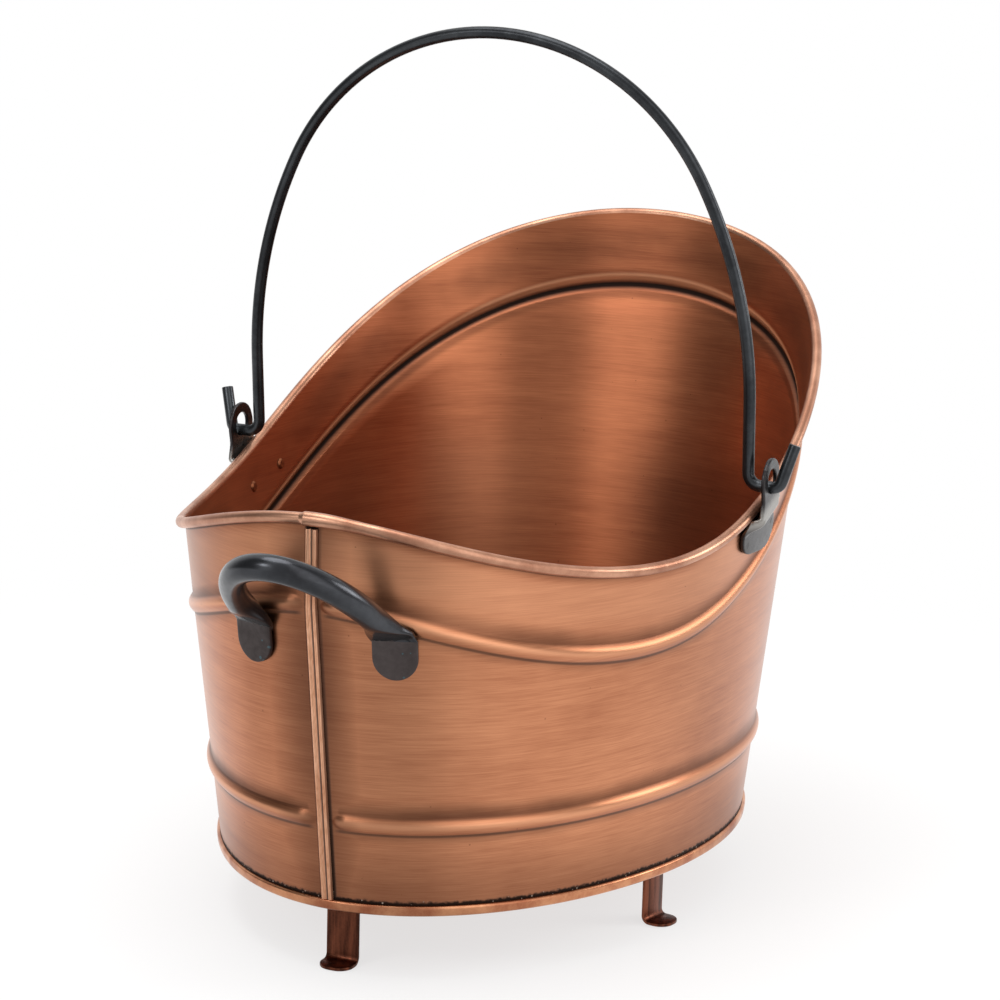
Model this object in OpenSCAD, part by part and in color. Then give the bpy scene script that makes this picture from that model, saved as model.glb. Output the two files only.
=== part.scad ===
// Oval log bucket in sheet copper. A tapered wall with two swaged beads and a wired rim
// stands on four strap feet. A tube handle is riveted over the seam, and a rod bail
// hangs in two riveted ears. The seam end faces -Y and the high lip faces +Y.
// Sizes are in millimetres, and heights called h are measured from the foot of the wall.

/* [Wall] */
// Length of the oval at the foot of the wall
base_len = 416; // [370:1:460]
// Width of the oval at the foot of the wall
base_w = 315; // [285:1:345]
// Thickness of the wall sheet
sheet_t = 1; // [0.8:0.1:1.4]
// Growth of the half length for each millimetre of height
end_flare = 0.156; // [0.12:0.002:0.18]
// Growth of the half width for each millimetre of height
side_flare = 0.061; // [0.04:0.001:0.09]
// Growth of the half length in the collar above the upper bead
end_collar = 0.027; // [0.01:0.001:0.08]
// Growth of the half width in the collar above the upper bead
side_collar = 0.124; // [0.06:0.001:0.14]
// Forward lean of the wall towards the lip, for each millimetre of height
lean = 0.016; // [0:0.002:0.03]
// Share by which the lip half is wider, and the seam half narrower, than a plain oval
egg = 0.085; // [0.04:0.005:0.11]
// Squareness of the plan at the rim, where 2 is an ellipse
rim_power = 2.3; // [2:0.05:2.5]

/* [Rim] */
// Height of the rim over the seam
rim_rear_h = 240; // [220:1:260]
// Height of the rim at the sides, beside the ears
rim_side_h = 221.3; // [205:0.1:235]
// Height of the pouring lip
lip_h = 370; // [330:1:390]
// How far the rim is drawn out at the shoulders beside the lip
rim_shoulder = 5; // [0:0.5:6]
// How far the rim is raised halfway between its ends and its sides
rim_fill = 1.8; // [0:0.1:3]
// How far the rim is bent up where it leaves the sides for the lip
rim_turn = 0.9; // [0:0.1:2]
// Outer diameter of the curled edge
curl_d = 6.6; // [6:0.1:8]
// Diameter of the wire inside the curl
wire_d = 4; // [3.4:0.1:4]

/* [Beads] */
// Drop from the rim to the upper bead, which follows it
bead_drop = 53; // [48:1:62]
// Height of the level lower bead
low_bead_h = 56; // [40:1:70]
// Width of a bead
bead_w = 10; // [8:0.5:11]
// How far a bead stands out of the wall
bead_out = 3; // [2:0.1:4]
// Distance from the seam at which a bead starts to rise
bead_start = 6; // [5:0.5:8]
// Length over which a bead rises to its full height
bead_fade = 6; // [4:0.5:10]

/* [Seam] */
// Width of the raised seam strip
seam_w = 7; // [6:0.5:9]
// Height of the seam strip's two ridges over the wall
seam_out = 2.6; // [2:0.1:3.5]
// Depth of the groove between the ridges
seam_groove = 1; // [0.5:0.1:1.2]

/* [Hem and base] */
// Height of the folded hem's outer leg
hem_h = 6.6; // [6:0.1:8]
// How far the hem stands out of the wall
hem_out = 2.2; // [1.8:0.1:3]
// Height of the base pan's underside over the foot of the wall
pan_h = 6; // [5.6:0.1:8]
// Thickness of the base pan
pan_t = 1; // [0.8:0.1:1.4]

/* [Feet] */
// Height of the wall's foot over the floor
foot_h = 39; // [30:1:50]
// Width of a foot strap
strap_w = 21; // [18:0.5:26]
// Thickness of a foot strap
strap_t = 2; // [1.6:0.1:3]
// Inset of a strap's outer face from the foot of the wall
foot_inset = 18; // [15:0.5:24]
// Length of the toe in front of the strap
toe_len = 15; // [13:0.5:18]
// Length of the riveted flange under the pan
flange_len = 30; // [27:0.5:36]
// Inner radius of the bends
foot_bend = 3; // [2:0.5:4]
// Turn of the side feet from the seam
side_foot_turn = 80; // [75:1:90]

/* [Tube handle] */
// Diameter of the handle tube
tube_d = 15.2; // [13:0.1:17]
// Distance between the middles of the two pads
handle_w = 87; // [80:1:96]
// Sideways offset of the handle from the seam
handle_shift = 4; // [0:0.5:5]
// Greatest width of the bow, measured at the tube's middle
bow_w = 84; // [78:1:90]
// Reach of the bow from the wall, measured along its slope
bow_reach = 85.5; // [76:0.5:92]
// Length of the straight root of the bow
bow_root = 14; // [12:0.5:18]
// Rise of the bow over the level
bow_tilt = 35.5; // [32:0.5:45]
// Length over which the flattened end becomes round
bow_blend = 32; // [28:1:40]
// Width of a flattened pad
pad_w = 26; // [22:0.5:27]
// Length of a pad from its fold to its round end
pad_len = 24.5; // [23:0.5:28]
// Thickness of a flattened pad
pad_t = 3.4; // [3:0.1:4]
// Clearance between the upper bead and the fold
fold_gap = 0.5; // [0.4:0.1:3]
// Distance between the two rivets of a pad
pad_pitch = 12; // [10:0.5:13]

/* [Ears] */
// Distance of the bail's pivot from the middle of the oval, towards the lip
pivot_y = 9.5; // [5:0.5:14]
// Outer diameter of the ear's ring
ring_d = 28; // [26:0.5:31]
// Diameter of the hole in the ring
hole_d = 15.5; // [14:0.1:17]
// Thickness of the ear's plate
ear_t = 2.5; // [2:0.1:3]
// Height of the hole's middle over the rim
ring_rise = 13; // [12:0.5:16]
// Drop from the hole's middle to the middle of the riveted pad
ear_drop = 35.5; // [34:0.5:38]
// Offset of the riveted pad from the hole, towards the lip
ear_shift = 12.5; // [6:0.5:14]
// Tilt of the ear, rising towards the lip
ear_tilt = 6; // [0:1:8]
// Width of the neck
neck_w = 19; // [16:0.5:22]
// Width of the riveted pad
ear_pad_w = 60; // [56:1:62]
// Height of the riveted pad
ear_pad_h = 25.5; // [24:0.5:26]
// Clearance between the neck and the curled rim
ear_stand = 3; // [2.5:0.5:4]
// Fillet between the neck and the pad
ear_fillet = 8; // [5:0.5:9]
// Distance between the two rivets of an ear
ear_pitch = 40; // [36:1:42]
// Rise of the line through the two rivets
rivet_rise = 13; // [6:1:14]

/* [Bail] */
// Diameter of the bail rod
rod_d = 7.5; // [6:0.1:8]
// Distance between the bail's two legs, middle to middle
bail_w = 340; // [336:0.5:341]
// Length of the straight legs over the pivot
leg_len = 50; // [40:1:60]
// Rise of the arch over the straight legs
arch_h = 217; // [200:1:230]
// How much smaller the radius of the arch's crown is than half the bail's width
crown_in = 15; // [8:0.5:22]
// Lean of the bail towards the seam at rest
bail_lean = 4.5; // [0:0.5:8]
// Radius of the bend inside the ear
bend_in = 8; // [7:0.5:8.5]
// Radius of the bend outside the ear
bend_out = 5; // [4.5:0.5:5.5]
// Clearance between the tail and the ear
tail_gap = 2; // [1.5:0.1:2.5]
// Length of the turned-up tail over the pivot
tail_len = 29; // [26:0.5:38]
// Lean of the tail towards the lip, from the plane of the bail
tail_lean = 15; // [10:1:30]
// Lean of the tail outward, away from the bucket
tail_splay = 15; // [0:1:20]

/* [Rivets] */
// Diameter of a rivet's shank
rivet_d = 4; // [3:0.1:5]
// Diameter of a rivet's head
head_d = 7.4; // [7:0.1:9]
// Height of a rivet's head
head_h = 1.2; // [0.8:0.1:1.6]

/* [Clearances] */
// Gap between sheets that are folded or riveted together
fit = 0.05; // [0.02:0.01:0.1]
// Gap between a bent plate or strip and the curved wall behind it
seat = 0.15; // [0.1:0.05:0.25]
// Gap under the bail rod in the ear's hole
run = 0.1; // [0.06:0.02:0.2]

/* [Hidden] */
$fn = 48;

copper = "#B4764F";
dark_copper = "#7A4A36";
steel = "#8A8A88";
gunmetal = "#43454A";

// Plan angles are counted from the seam, at -Y, towards +X.
around = 80;
seam_step = 2.25;
angles = concat([0, seam_step], [for (i = [1:around - 1]) i*360/around], [360 - seam_step]);

curl_r = curl_d/2;
rim_mean = (rim_rear_h + lip_h)/4 + rim_side_h/2;
rim_dip = (rim_rear_h + lip_h)/4 - rim_side_h/2;
rim_tilt = (rim_rear_h - lip_h)/2 - rim_shoulder - rim_turn;

function rim_h(t) = rim_mean + rim_tilt*cos(t) + rim_dip*cos(2*t) + rim_shoulder*cos(3*t)
    + rim_fill*(1 - cos(4*t)) + rim_turn*cos(5*t);
function bead_h(t) = rim_h(t) - bead_drop;
function past_bead(t, h) = max(h - bead_h(t), 0);
function half_len(t, h) = base_len/2 + end_flare*h - (end_flare - end_collar)*past_bead(t, h);
function half_w(t, h) = base_w/2 + side_flare*h - (side_flare - side_collar)*past_bead(t, h);
function plan_power(h) = 2 + (rim_power - 2)*h/rim_rear_h;
function oval(t, n) = pow(pow(abs(cos(t)), n) + pow(abs(sin(t)), n), -1/n);

// Point on the outer face of the wall
function wall_pt(t, h) =
    let (q = oval(t, plan_power(h)))
    [half_w(t, h)*(1 - egg*cos(t))*sin(t)*q, lean*h - half_len(t, h)*cos(t)*q, foot_h + h];

function unit(v) = v/norm(v);

// Outward level direction of the wall in plan
function outward(t, h) =
    let (d = wall_pt(t + 0.5, h) - wall_pt(t - 0.5, h))
    unit([d.y, -d.x, 0]);

// Point off the wall by a distance
function off_wall(t, h, off) = wall_pt(t, h) + off*outward(t, h);

// Middle and radius of the level circle through three points of the wall
function plan_circle(t, h, spread) =
    let (p = wall_pt(t - spread, h), q = wall_pt(t, h), r = wall_pt(t + spread, h),
         a = q - p, b = r - p, d = 2*(a.x*b.y - a.y*b.x),
         u = (b.y*(a*a) - a.y*(b*b))/d, v = (a.x*(b*b) - b.x*(a*a))/d)
    [p.x + u, p.y + v, norm([u, v])];

// Solid skin over rings of equal length, outward when the rings climb
module skin(rings, looped = false) {
    m = len(rings);
    n = len(rings[0]);
    polyhedron(
        points = [for (ring = rings) each ring],
        faces = concat(
            [for (i = [0:m - (looped ? 1 : 2)], j = [0:n - 1], half = [0, 1])
                let (a = i*n + j, b = i*n + (j + 1)%n,
                     c = ((i + 1)%m)*n + (j + 1)%n, d = ((i + 1)%m)*n + j)
                half == 0 ? [a, c, b] : [a, d, c]],
            looped ? [] : [[for (j = [0:n - 1]) j], [for (j = [n - 1:-1:0]) (m - 1)*n + j]]));
}

// Ring round the wall through a section's point, given as distance off the wall and height
function wall_ring(p) = [for (t = angles) off_wall(t, p.y, p.x)];

// Heights and bulges of the wall's levels at one angle
bead_steps = [-0.5, -0.25, 0, 0.25, 0.5];
function bulge(s) = bead_out*sqrt(1 - 4*s*s);
function fade(t, h) =
    cos(t) < 0 ? 1 : min(max((abs(wall_pt(t, h).x) - bead_start)/bead_fade, 0), 1);
function levels(t) =
    let (low = low_bead_h, up = bead_h(t), top = rim_h(t) - curl_r - fit)
    [[hem_t + fit, 0],
     for (s = bead_steps) [low + s*bead_w, bulge(s)],
     [(low + up)/2, 0],
     for (s = bead_steps) [up + s*bead_w, bulge(s)],
     [(up + top)/2, 0],
     [top, 0]];
function wall_level(i, off) = [for (t = angles)
    let (v = levels(t)[i]) off_wall(t, v[0], off + v[1]*fade(t, v[0]))];

module body_wall() {
    last = len(levels(0)) - 1;
    color(copper) centred() difference() {
        skin(concat([for (i = [0:last]) wall_level(i, 0)],
                    [for (i = [last:-1:0]) wall_level(i, -sheet_t)]), looped = true);
        ear_rivet_set(rivet_d + 2*fit, heads = false);
        handle_rivet_set(rivet_d + 2*fit, heads = false);
    }
}

// Middle line of the curled edge with its outward and upward directions
function curl_mid(t) = off_wall(t, rim_h(t) - curl_r, curl_r - sheet_t);
function curl_frame(t) =
    let (d = curl_mid(t + 0.5) - curl_mid(t - 0.5), n = outward(t, rim_h(t) - curl_r))
    [curl_mid(t), n, unit(cross(n, d))];
curl_frames = [for (t = angles) curl_frame(t)];
function curl_ring(r, a) = [for (f = curl_frames) f[0] + r*cos(a)*f[1] + r*sin(a)*f[2]];

lip_gap = 2*seat;
curl_end = -acos((sheet_t + lip_gap)/curl_r - 1);
curl_steps = 8;
curl_turn = (180 - curl_end)/curl_steps;

module rim_curl() {
    arc = [for (i = [0:curl_steps]) curl_end + i*curl_turn];
    color(copper) centred() skin(concat(
        [for (a = arc) curl_ring(curl_r, a)],
        [for (i = [curl_steps:-1:0]) curl_ring(curl_r - sheet_t, arc[i])]), looped = true);
}

wire_sides = 6;

module rim_wire() {
    color(steel) centred()
        skin([for (i = [0:wire_sides - 1]) curl_ring(wire_d/2, i*360/wire_sides)], looped = true);
}

// Section of the seam strip, across and out of the wall, with two ridges and a groove
seam_section = [
    [-0.5, 0], [0.5, 0], [0.5, 0.45], [0.42, 0.9], [0.3, 1], [0.2, 0.9],
    [0.12, 0], [-0.02, 0], [-0.1, 0.85], [-0.2, 1], [-0.38, 0.95], [-0.5, 0.5]];
function seam_rise(v) = v == 0 ? seam_out - seam_groove : seam_out*v;

module seam_strip() {
    outline = [for (i = [0:len(seam_section) - 1])
        [seam_section[i].x*seam_w, i < 2 ? 0 : seam_rise(seam_section[i].y)]];
    stops = [hem_h + seat, bead_h(0), rim_h(0) - curl_d - seat];
    color(copper) centred()
        skin([for (h = stops) [for (p = outline)
            off_wall(0, h, seat) + [p.x, -p.y, 0]]]);
}

hem_t = 1;
hem_in_h = 4.9;
pan_inset = sheet_t + fit;
hem_inset = pan_inset + pan_t + fit;
hem_edge = 0.8;

module base_hem() {
    section = [
        [hem_out - hem_edge, 0], [hem_out, hem_edge], [hem_out, hem_h - hem_edge],
        [hem_out - hem_edge, hem_h], [fit, hem_h], [fit, hem_t],
        [-hem_inset, hem_t], [-hem_inset, hem_in_h],
        [-hem_inset - hem_t, hem_in_h], [-hem_inset - hem_t, 0]];
    color(copper) centred() skin([for (p = section) wall_ring(p)], looped = true);
}

module base_pan() {
    section = [
        [-pan_inset - pan_t, pan_h], [-pan_inset - pan_t, hem_t + fit],
        [-pan_inset, hem_t + fit], [-pan_inset, pan_h + pan_t]];
    color(copper) centred() difference() {
        skin([for (p = section) wall_ring(p)]);
        foot_rivet_set(rivet_d + 2*fit, heads = false);
    }
}

// Feet: each one stands square to the wall at its turn from the seam.
foot_turns = [0, 180, side_foot_turn, -side_foot_turn];
module at_foot(t) {
    n = outward(t, 0);
    p = off_wall(t, 0, -foot_inset);
    translate([p.x, p.y, 0]) rotate([0, 0, atan2(n.y, n.x)]) children();
}

// Quarter of a bent strap, round its own inner corner
module bend_quarter() {
    intersection() {
        difference() {
            circle(r = foot_bend + strap_t);
            circle(r = foot_bend);
        }
        square(foot_bend + strap_t);
    }
}

foot_top = foot_h + pan_h - fit;
foot_corner = foot_bend + strap_t;

// Side view of a foot: out along x, up along y
module foot_profile() {
    translate([-strap_t, foot_corner]) square([strap_t, foot_top - 2*foot_corner]);
    translate([foot_bend, foot_corner]) rotate(180) bend_quarter();
    translate([foot_bend, 0]) square([toe_len - foot_bend, strap_t]);
    translate([-foot_corner, foot_top - foot_corner]) bend_quarter();
    translate([-flange_len, foot_top - strap_t]) square([flange_len - foot_corner, strap_t]);
}

toe_round = 9;
module foot(t) {
    corner = min(toe_round, strap_w/2 - fit);
    color(dark_copper) centred() at_foot(t) difference() {
        intersection() {
            rotate([90, 0, 0]) linear_extrude(strap_w, center = true) foot_profile();
            linear_extrude(foot_top + strap_t) {
                translate([-flange_len, -strap_w/2]) square([flange_len + toe_len - corner, strap_w]);
                translate([0, corner - strap_w/2]) square([toe_len, strap_w - 2*corner]);
                for (s = [-1, 1])
                    translate([toe_len - corner, s*(strap_w/2 - corner)]) circle(r = corner);
            }
        }
        foot_rivet_pair(rivet_d + 2*fit, heads = false);
    }
}

// Rivets: one stands on the outer face of what it holds and its head sits on the far face.
module rivet(grip, d, heads) {
    cut = heads ? 0 : head_h;
    translate([0, 0, -cut]) cylinder(d = d, h = grip + 2*cut);
    if (heads) {
        translate([0, 0, grip]) cylinder(d1 = head_d, d2 = head_d - 2*head_h, h = head_h);
    }
}

module foot_rivet_pair(d, heads) {
    grip = strap_t + pan_t + 2*fit;
    flat = flange_len - foot_corner;
    for (s = [-1, 1])
        translate([-foot_corner - flat/2 + s*flat/4, 0, foot_top - strap_t]) rivet(grip, d, heads);
}

module foot_rivet_set(d, heads) {
    for (t = foot_turns) at_foot(t) foot_rivet_pair(d, heads);
}

module foot_rear() {
    foot(foot_turns[0]);
}
module foot_front() {
    foot(foot_turns[1]);
}
module foot_right() {
    foot(foot_turns[2]);
}
module foot_left() {
    foot(foot_turns[3]);
}
module foot_rivets() {
    color(steel) centred() foot_rivet_set(rivet_d, heads = true);
}

// The fold lies under the bead where the pad's outer edge meets it.
fold_turn = asin((handle_w/2 + handle_shift + pad_w/2)/(half_w(0, bead_h(0))*(1 - egg)));
fold_h = bead_h(fold_turn) - bead_w/2 - fold_gap;

// Tube handle: one skin from the right pad over the bow to the left pad. A section has a
// middle, a width direction, a thickness direction, two half sizes and a squareness.
pad_mid = seat + pad_t/2;
pad_r = pad_w/2;
section_sides = 16;
bow_x = bow_w/2;

// Plan angle of a point at x on the seam half of the wall
function turn_at(x, h) =
    asin(x/(half_w(0, h)*(1 - egg)*oval(asin(x/(half_w(0, h)*(1 - egg))), plan_power(h))));
pad_turns = [for (s = [1, -1]) turn_at(s*handle_w/2 + handle_shift, fold_h)];
function pad_out(i) = outward(pad_turns[i], fold_h);
function pad_pt(i, h) = wall_pt(pad_turns[i], h) + pad_mid*pad_out(i);
function pad_across(i) = (i == 0 ? 1 : -1)*[-pad_out(i).y, pad_out(i).x, 0];

function section_ring(c, u, v, w, e, n) = [for (k = [0:section_sides - 1])
    let (a = k*360/section_sides)
    c + w*sign(cos(a))*pow(abs(cos(a)), 2/n)*u + e*sign(sin(a))*pow(abs(sin(a)), 2/n)*v];

flat_power = 6;
pad_arc = [12, 30, 48, 68, 90];
function pad_rings(i) = [
    for (a = pad_arc) section_ring(pad_pt(i, fold_h - pad_len + pad_r*(1 - cos(a))),
        pad_across(i), pad_out(i), pad_r*sin(a), pad_t/2, flat_power),
    section_ring(pad_pt(i, fold_h), pad_across(i), pad_out(i), pad_r, pad_t/2, flat_power)];

// Middle line of the bow in its own plane, square to the line between the two folds
bow_span = pad_pt(0, fold_h) - pad_pt(1, fold_h);
root_x = norm(bow_span)/2;
bow_origin = pad_pt(1, fold_h) + bow_span/2;
bow_across = unit(bow_span);
bow_face = [bow_across.y, -bow_across.x, 0];
bow_out = cos(bow_tilt)*bow_face + [0, 0, sin(bow_tilt)];
bow_down = sin(bow_tilt)*bow_face - [0, 0, cos(bow_tilt)];
root_steps = 4;
arch_steps = 20;
bow_path = concat(
    [for (i = [1:root_steps]) let (u = i/root_steps)
        [root_x + (bow_x - root_x)*(2*u - u*u), bow_root*u]],
    [for (i = [1:arch_steps - 1]) let (a = i*180/arch_steps)
        [bow_x*cos(a), bow_root + (bow_reach - bow_root)*sin(a)]],
    [for (i = [0:root_steps - 1]) let (u = 1 - i/root_steps)
        [-root_x - (bow_x - root_x)*(2*u - u*u), bow_root*u]]);
function bow_pt(p) = bow_origin + p.x*bow_across + p.y*bow_out;
function smooth(u) = u*u*(3 - 2*u);
function bow_ring(i) =
    let (p = bow_path[i],
         before = i == 0 ? [root_x, 0] : bow_path[i - 1],
         after = i == len(bow_path) - 1 ? [-root_x, 0] : bow_path[i + 1],
         along = unit((after.x - before.x)*bow_across + (after.y - before.y)*bow_out),
         round = smooth(min(p.y/bow_blend, 1)),
         side = (1 - round)*pad_across(p.x > 0 ? 0 : 1) + round*cross(along, bow_down),
         u = unit(side - (side*along)*along))
    section_ring(bow_pt(p), u, cross(u, along),
        pad_r + (tube_d/2 - pad_r)*round, pad_t/2 + (tube_d/2 - pad_t/2)*round,
        flat_power + (2 - flat_power)*sqrt(round));

// The whole object is centred over its box, from the handle's bow to the lip.
handle_rear_y = min([for (p = bow_path) bow_pt(p).y]) - tube_d/2;
lip_front_y = curl_mid(180).y + curl_r;
centre_y = -(handle_rear_y + lip_front_y)/2;
module centred() {
    translate([0, centre_y, 0]) children();
}

module rear_handle() {
    color(gunmetal) centred() difference() {
        skin(concat(pad_rings(0), [for (i = [0:len(bow_path) - 1]) bow_ring(i)],
                    [for (i = [len(pad_arc):-1:0]) pad_rings(1)[i]]));
        handle_rivet_set(rivet_d + 2*fit, heads = false);
    }
}

// Rivets of the pads, flush outside and with a low head inside the wall
head_gap = seat + fit;
module handle_rivet_set(d, heads) {
    mid_h = fold_h - pad_len/2;
    grip = seat + pad_t + sheet_t + head_gap;
    for (i = [0, 1], s = [-1, 1]) {
        h = mid_h + s*pad_pitch/2;
        n = pad_out(i);
        rise = wall_pt(pad_turns[i], fold_h) - wall_pt(pad_turns[i], mid_h);
        translate(wall_pt(pad_turns[i], h) + (seat + pad_t)*n)
            rotate([0, atan(rise*n/rise.z) - 90, atan2(n.y, n.x)]) rivet(grip, d, heads);
    }
}

module handle_rivets() {
    color(gunmetal) centred() handle_rivet_set(rivet_d, heads = true);
}

// Ears: the plate climbs from the wall over the curled rim and ends in a ring.
ear_turn = acos(-(pivot_y - lean*rim_side_h)/half_len(90, rim_side_h));
ear_rim_h = rim_h(ear_turn);
hole_h = ear_rim_h + ring_rise;
pad_mid_y = pivot_y + ear_shift;
pad_mid_h = hole_h - ear_drop;
ear_x = off_wall(ear_turn, ear_rim_h - curl_r, curl_d - sheet_t).x + ear_stand + ear_t/2;
jog_drop = 2;
jog_top_h = ear_rim_h - curl_d - jog_drop;
jog_foot_h = pad_mid_h + ear_pad_h/3;
pad_spread = 8;
pad_clear = 0.5;
rim_slope = atan2(rim_h(ear_turn + 1) - rim_h(ear_turn - 1),
    curl_mid(ear_turn + 1).y - curl_mid(ear_turn - 1).y);
pad_turn = acos(-(pad_mid_y - lean*pad_mid_h)/half_len(90, pad_mid_h));
ear_circle = plan_circle(pad_turn, pad_mid_h, pad_spread);
shell_r = ear_circle[2] + seat;
pad_climb = (wall_pt(pad_turn, jog_foot_h).x - wall_pt(pad_turn, pad_mid_h - ear_pad_h/2).x)
    /(jog_foot_h - pad_mid_h + ear_pad_h/2);

// Outline round the hole, with the pad's middle turned back into the tilted frame
module ear_outline() {
    r = ear_pad_h/2;
    side = ear_pad_w/2 - r;
    mid = [ear_shift*cos(ear_tilt) - ear_drop*sin(ear_tilt),
           -ear_shift*sin(ear_tilt) - ear_drop*cos(ear_tilt)];
    rotate(ear_tilt) {
        circle(d = ring_d);
        translate([-neck_w/2, mid.y]) square([neck_w, -mid.y]);
        translate([mid.x - side, mid.y - r]) square([2*side, 2*r]);
        for (s = [-1, 1]) {
            f = fillet_mid(s, mid, side, r);
            translate([mid.x + s*side, mid.y]) circle(r = r);
            difference() {
                polygon(points = [[0, mid.y], [s*min(s*f.x, s*mid.x + side), mid.y], f, [0, f.y]],
                    paths = [s > 0 ? [0, 1, 2, 3] : [3, 2, 1, 0]]);
                translate(f) circle(r = ear_fillet);
            }
        }
    }
}

// Middle of the fillet between the neck and the pad's top or its round end
function fillet_mid(s, mid, side, r) =
    let (x = neck_w/2 + ear_fillet, past = max(x - s*mid.x - side, 0))
    [s*x, mid.y + sqrt(pow(r + ear_fillet, 2) - past*past)];

// Frame on the wall's local circle at the pad's middle height, tilted with the wall
module at_pad() {
    translate([ear_circle[0] + ear_circle[2], ear_circle[1], foot_h + pad_mid_h])
        rotate([0, atan(pad_climb), 0]) translate([-ear_circle[2], 0, 0]) children();
}

// Bent plate of the right ear: a curved shell on the wall and a jogged strip above it
module ear_plate() {
    jog_z = foot_h + jog_foot_h;
    face_x = ear_circle[0] + shell_r + pad_climb*(jog_foot_h - pad_mid_h);
    at_pad() intersection() {
        difference() {
            cylinder(r = shell_r + ear_t, h = 2*ear_pad_h, center = true, $fn = 360);
            cylinder(r = shell_r, h = 3*ear_pad_h, center = true, $fn = 360);
        }
        translate([shell_r - ear_t, pivot_y - ear_circle[1],
                   ear_rim_h - curl_d - pad_clear - pad_mid_h])
            rotate([rim_slope, 0, 0]) translate([0, -ear_pad_w, -2*ear_pad_h])
                cube([3*ear_t, 2*ear_pad_w, 2*ear_pad_h]);
    }
    translate([0, pivot_y, 0]) rotate([90, 0, 0])
        linear_extrude(neck_w + 2*ear_fillet, center = true) polygon([
            [face_x, jog_z - ear_t], [face_x + ear_t, jog_z - ear_t],
            [ear_x + ear_t/2, foot_h + jog_top_h - ear_t/2],
            [ear_x + ear_t/2, foot_h + hole_h + ring_d],
            [ear_x - ear_t/2, foot_h + hole_h + ring_d],
            [ear_x - ear_t/2, foot_h + jog_top_h], [face_x, jog_z]]);
}

module ear() {
    color(gunmetal) difference() {
        intersection() {
            ear_plate();
            translate([0, pivot_y, foot_h + hole_h]) rotate([90, 0, 90])
                linear_extrude(2*ear_x) ear_outline();
        }
        translate([ear_x, pivot_y, foot_h + hole_h]) rotate([0, 90, 0])
            cylinder(d = hole_d, h = 4*ear_t, center = true);
        ear_rivet_pair(rivet_d + 2*fit, heads = false);
    }
}

module ear_rivet_pair(d, heads) {
    for (s = [-1, 1]) {
        y = pad_mid_y + s*ear_pitch/2*cos(rivet_rise) - ear_circle[1];
        z = s*ear_pitch/2*sin(rivet_rise);
        at_pad() rotate([0, 0, asin(y/(shell_r + ear_t))])
            translate([shell_r + ear_t, 0, z]) rotate([0, -90, 0])
                rivet(ear_t + seat + sheet_t + head_gap, d, heads);
    }
}

module ear_rivet_set(d, heads) {
    ear_rivet_pair(d, heads);
    mirror([1, 0, 0]) ear_rivet_pair(d, heads);
}

module ear_right() {
    centred() ear();
}
module ear_left() {
    centred() mirror([1, 0, 0]) ear();
}
module ear_rivets() {
    color(gunmetal) centred() ear_rivet_set(rivet_d, heads = true);
}

// Bail: a three-centred arch on straight legs, hooked outward through the ears
pivot_z = foot_h + hole_h - hole_d/2 + rod_d/2 + run;
leg_x = bail_w/2;
crown_r = leg_x - crown_in;
tail_x = ear_x + ear_t/2 + tail_gap + rod_d/2;
side_r = (leg_x*leg_x + arch_h*arch_h - 2*arch_h*crown_r)/(2*(leg_x - crown_r));
side_turn = atan2(arch_h - crown_r, side_r - leg_x);
joint_over = 0.02;

// Stretch of bent rod in the XZ plane, between two angles counted from +X
module rod_arc(x, z, r, from, to) {
    translate([x, 0, z]) rotate([90, 0, 0]) rotate([0, 0, from])
        rotate_extrude(angle = to - from) translate([r, 0]) circle(d = rod_d);
}

// Ball that joins two stretches of rod whose end faces meet at an angle in the plan
module rod_joint(p) {
    translate(p) sphere(r = rod_d/2 + joint_over, $fn = 24);
}

module half_bail() {
    rod_joint([leg_x - side_r + side_r*cos(side_turn), 0, leg_len + side_r*sin(side_turn)]);
    rod_joint([tail_x - bend_out, 0, 0]);
    rod_arc(leg_x - side_r, leg_len, side_r, 0, side_turn);
    translate([leg_x, 0, bend_in]) cylinder(d = rod_d, h = leg_len - bend_in);
    rod_arc(leg_x + bend_in, bend_in, bend_in, 180, 270);
    translate([leg_x + bend_in, 0, 0]) rotate([0, 90, 0])
        cylinder(d = rod_d, h = tail_x - bend_out - leg_x - bend_in);
    rotate([-tail_lean, 0, 0]) {
        rod_arc(tail_x - bend_out, bend_out, bend_out, 270, 360 - tail_splay);
        translate([tail_x - bend_out, 0, bend_out]) rotate([0, tail_splay, 0])
            translate([bend_out, 0, 0]) {
                rod_joint([0, 0, 0]);
                cylinder(d = rod_d, h = tail_len - bend_out);
            }
    }
}

module bail() {
    color(gunmetal) centred() translate([0, pivot_y, pivot_z]) rotate([bail_lean, 0, 0]) {
        rod_arc(0, leg_len + arch_h - crown_r, crown_r, side_turn, 180 - side_turn);
        half_bail();
        mirror([1, 0, 0]) half_bail();
    }
}

body_wall();
rim_curl();
rim_wire();
seam_strip();
base_pan();
base_hem();
foot_rear();
foot_front();
foot_right();
foot_left();
foot_rivets();
rear_handle();
handle_rivets();
ear_right();
ear_left();
ear_rivets();
bail();
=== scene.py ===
"""Log bucket in antique copper, with a dark tube handle and a dark rod bail.

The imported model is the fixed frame. Each sub-assembly below builds the pieces that stand for its nodes and dresses
them, and each finish makes one procedural material. Sizes are in millimetres, and meshes and masks are in metres.
"""

import logging
import math
from dataclasses import dataclass, replace
from enum import Enum
from typing import Callable, Iterable, Union

import bpy
import numpy as np
from mathutils import Matrix, Vector


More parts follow.
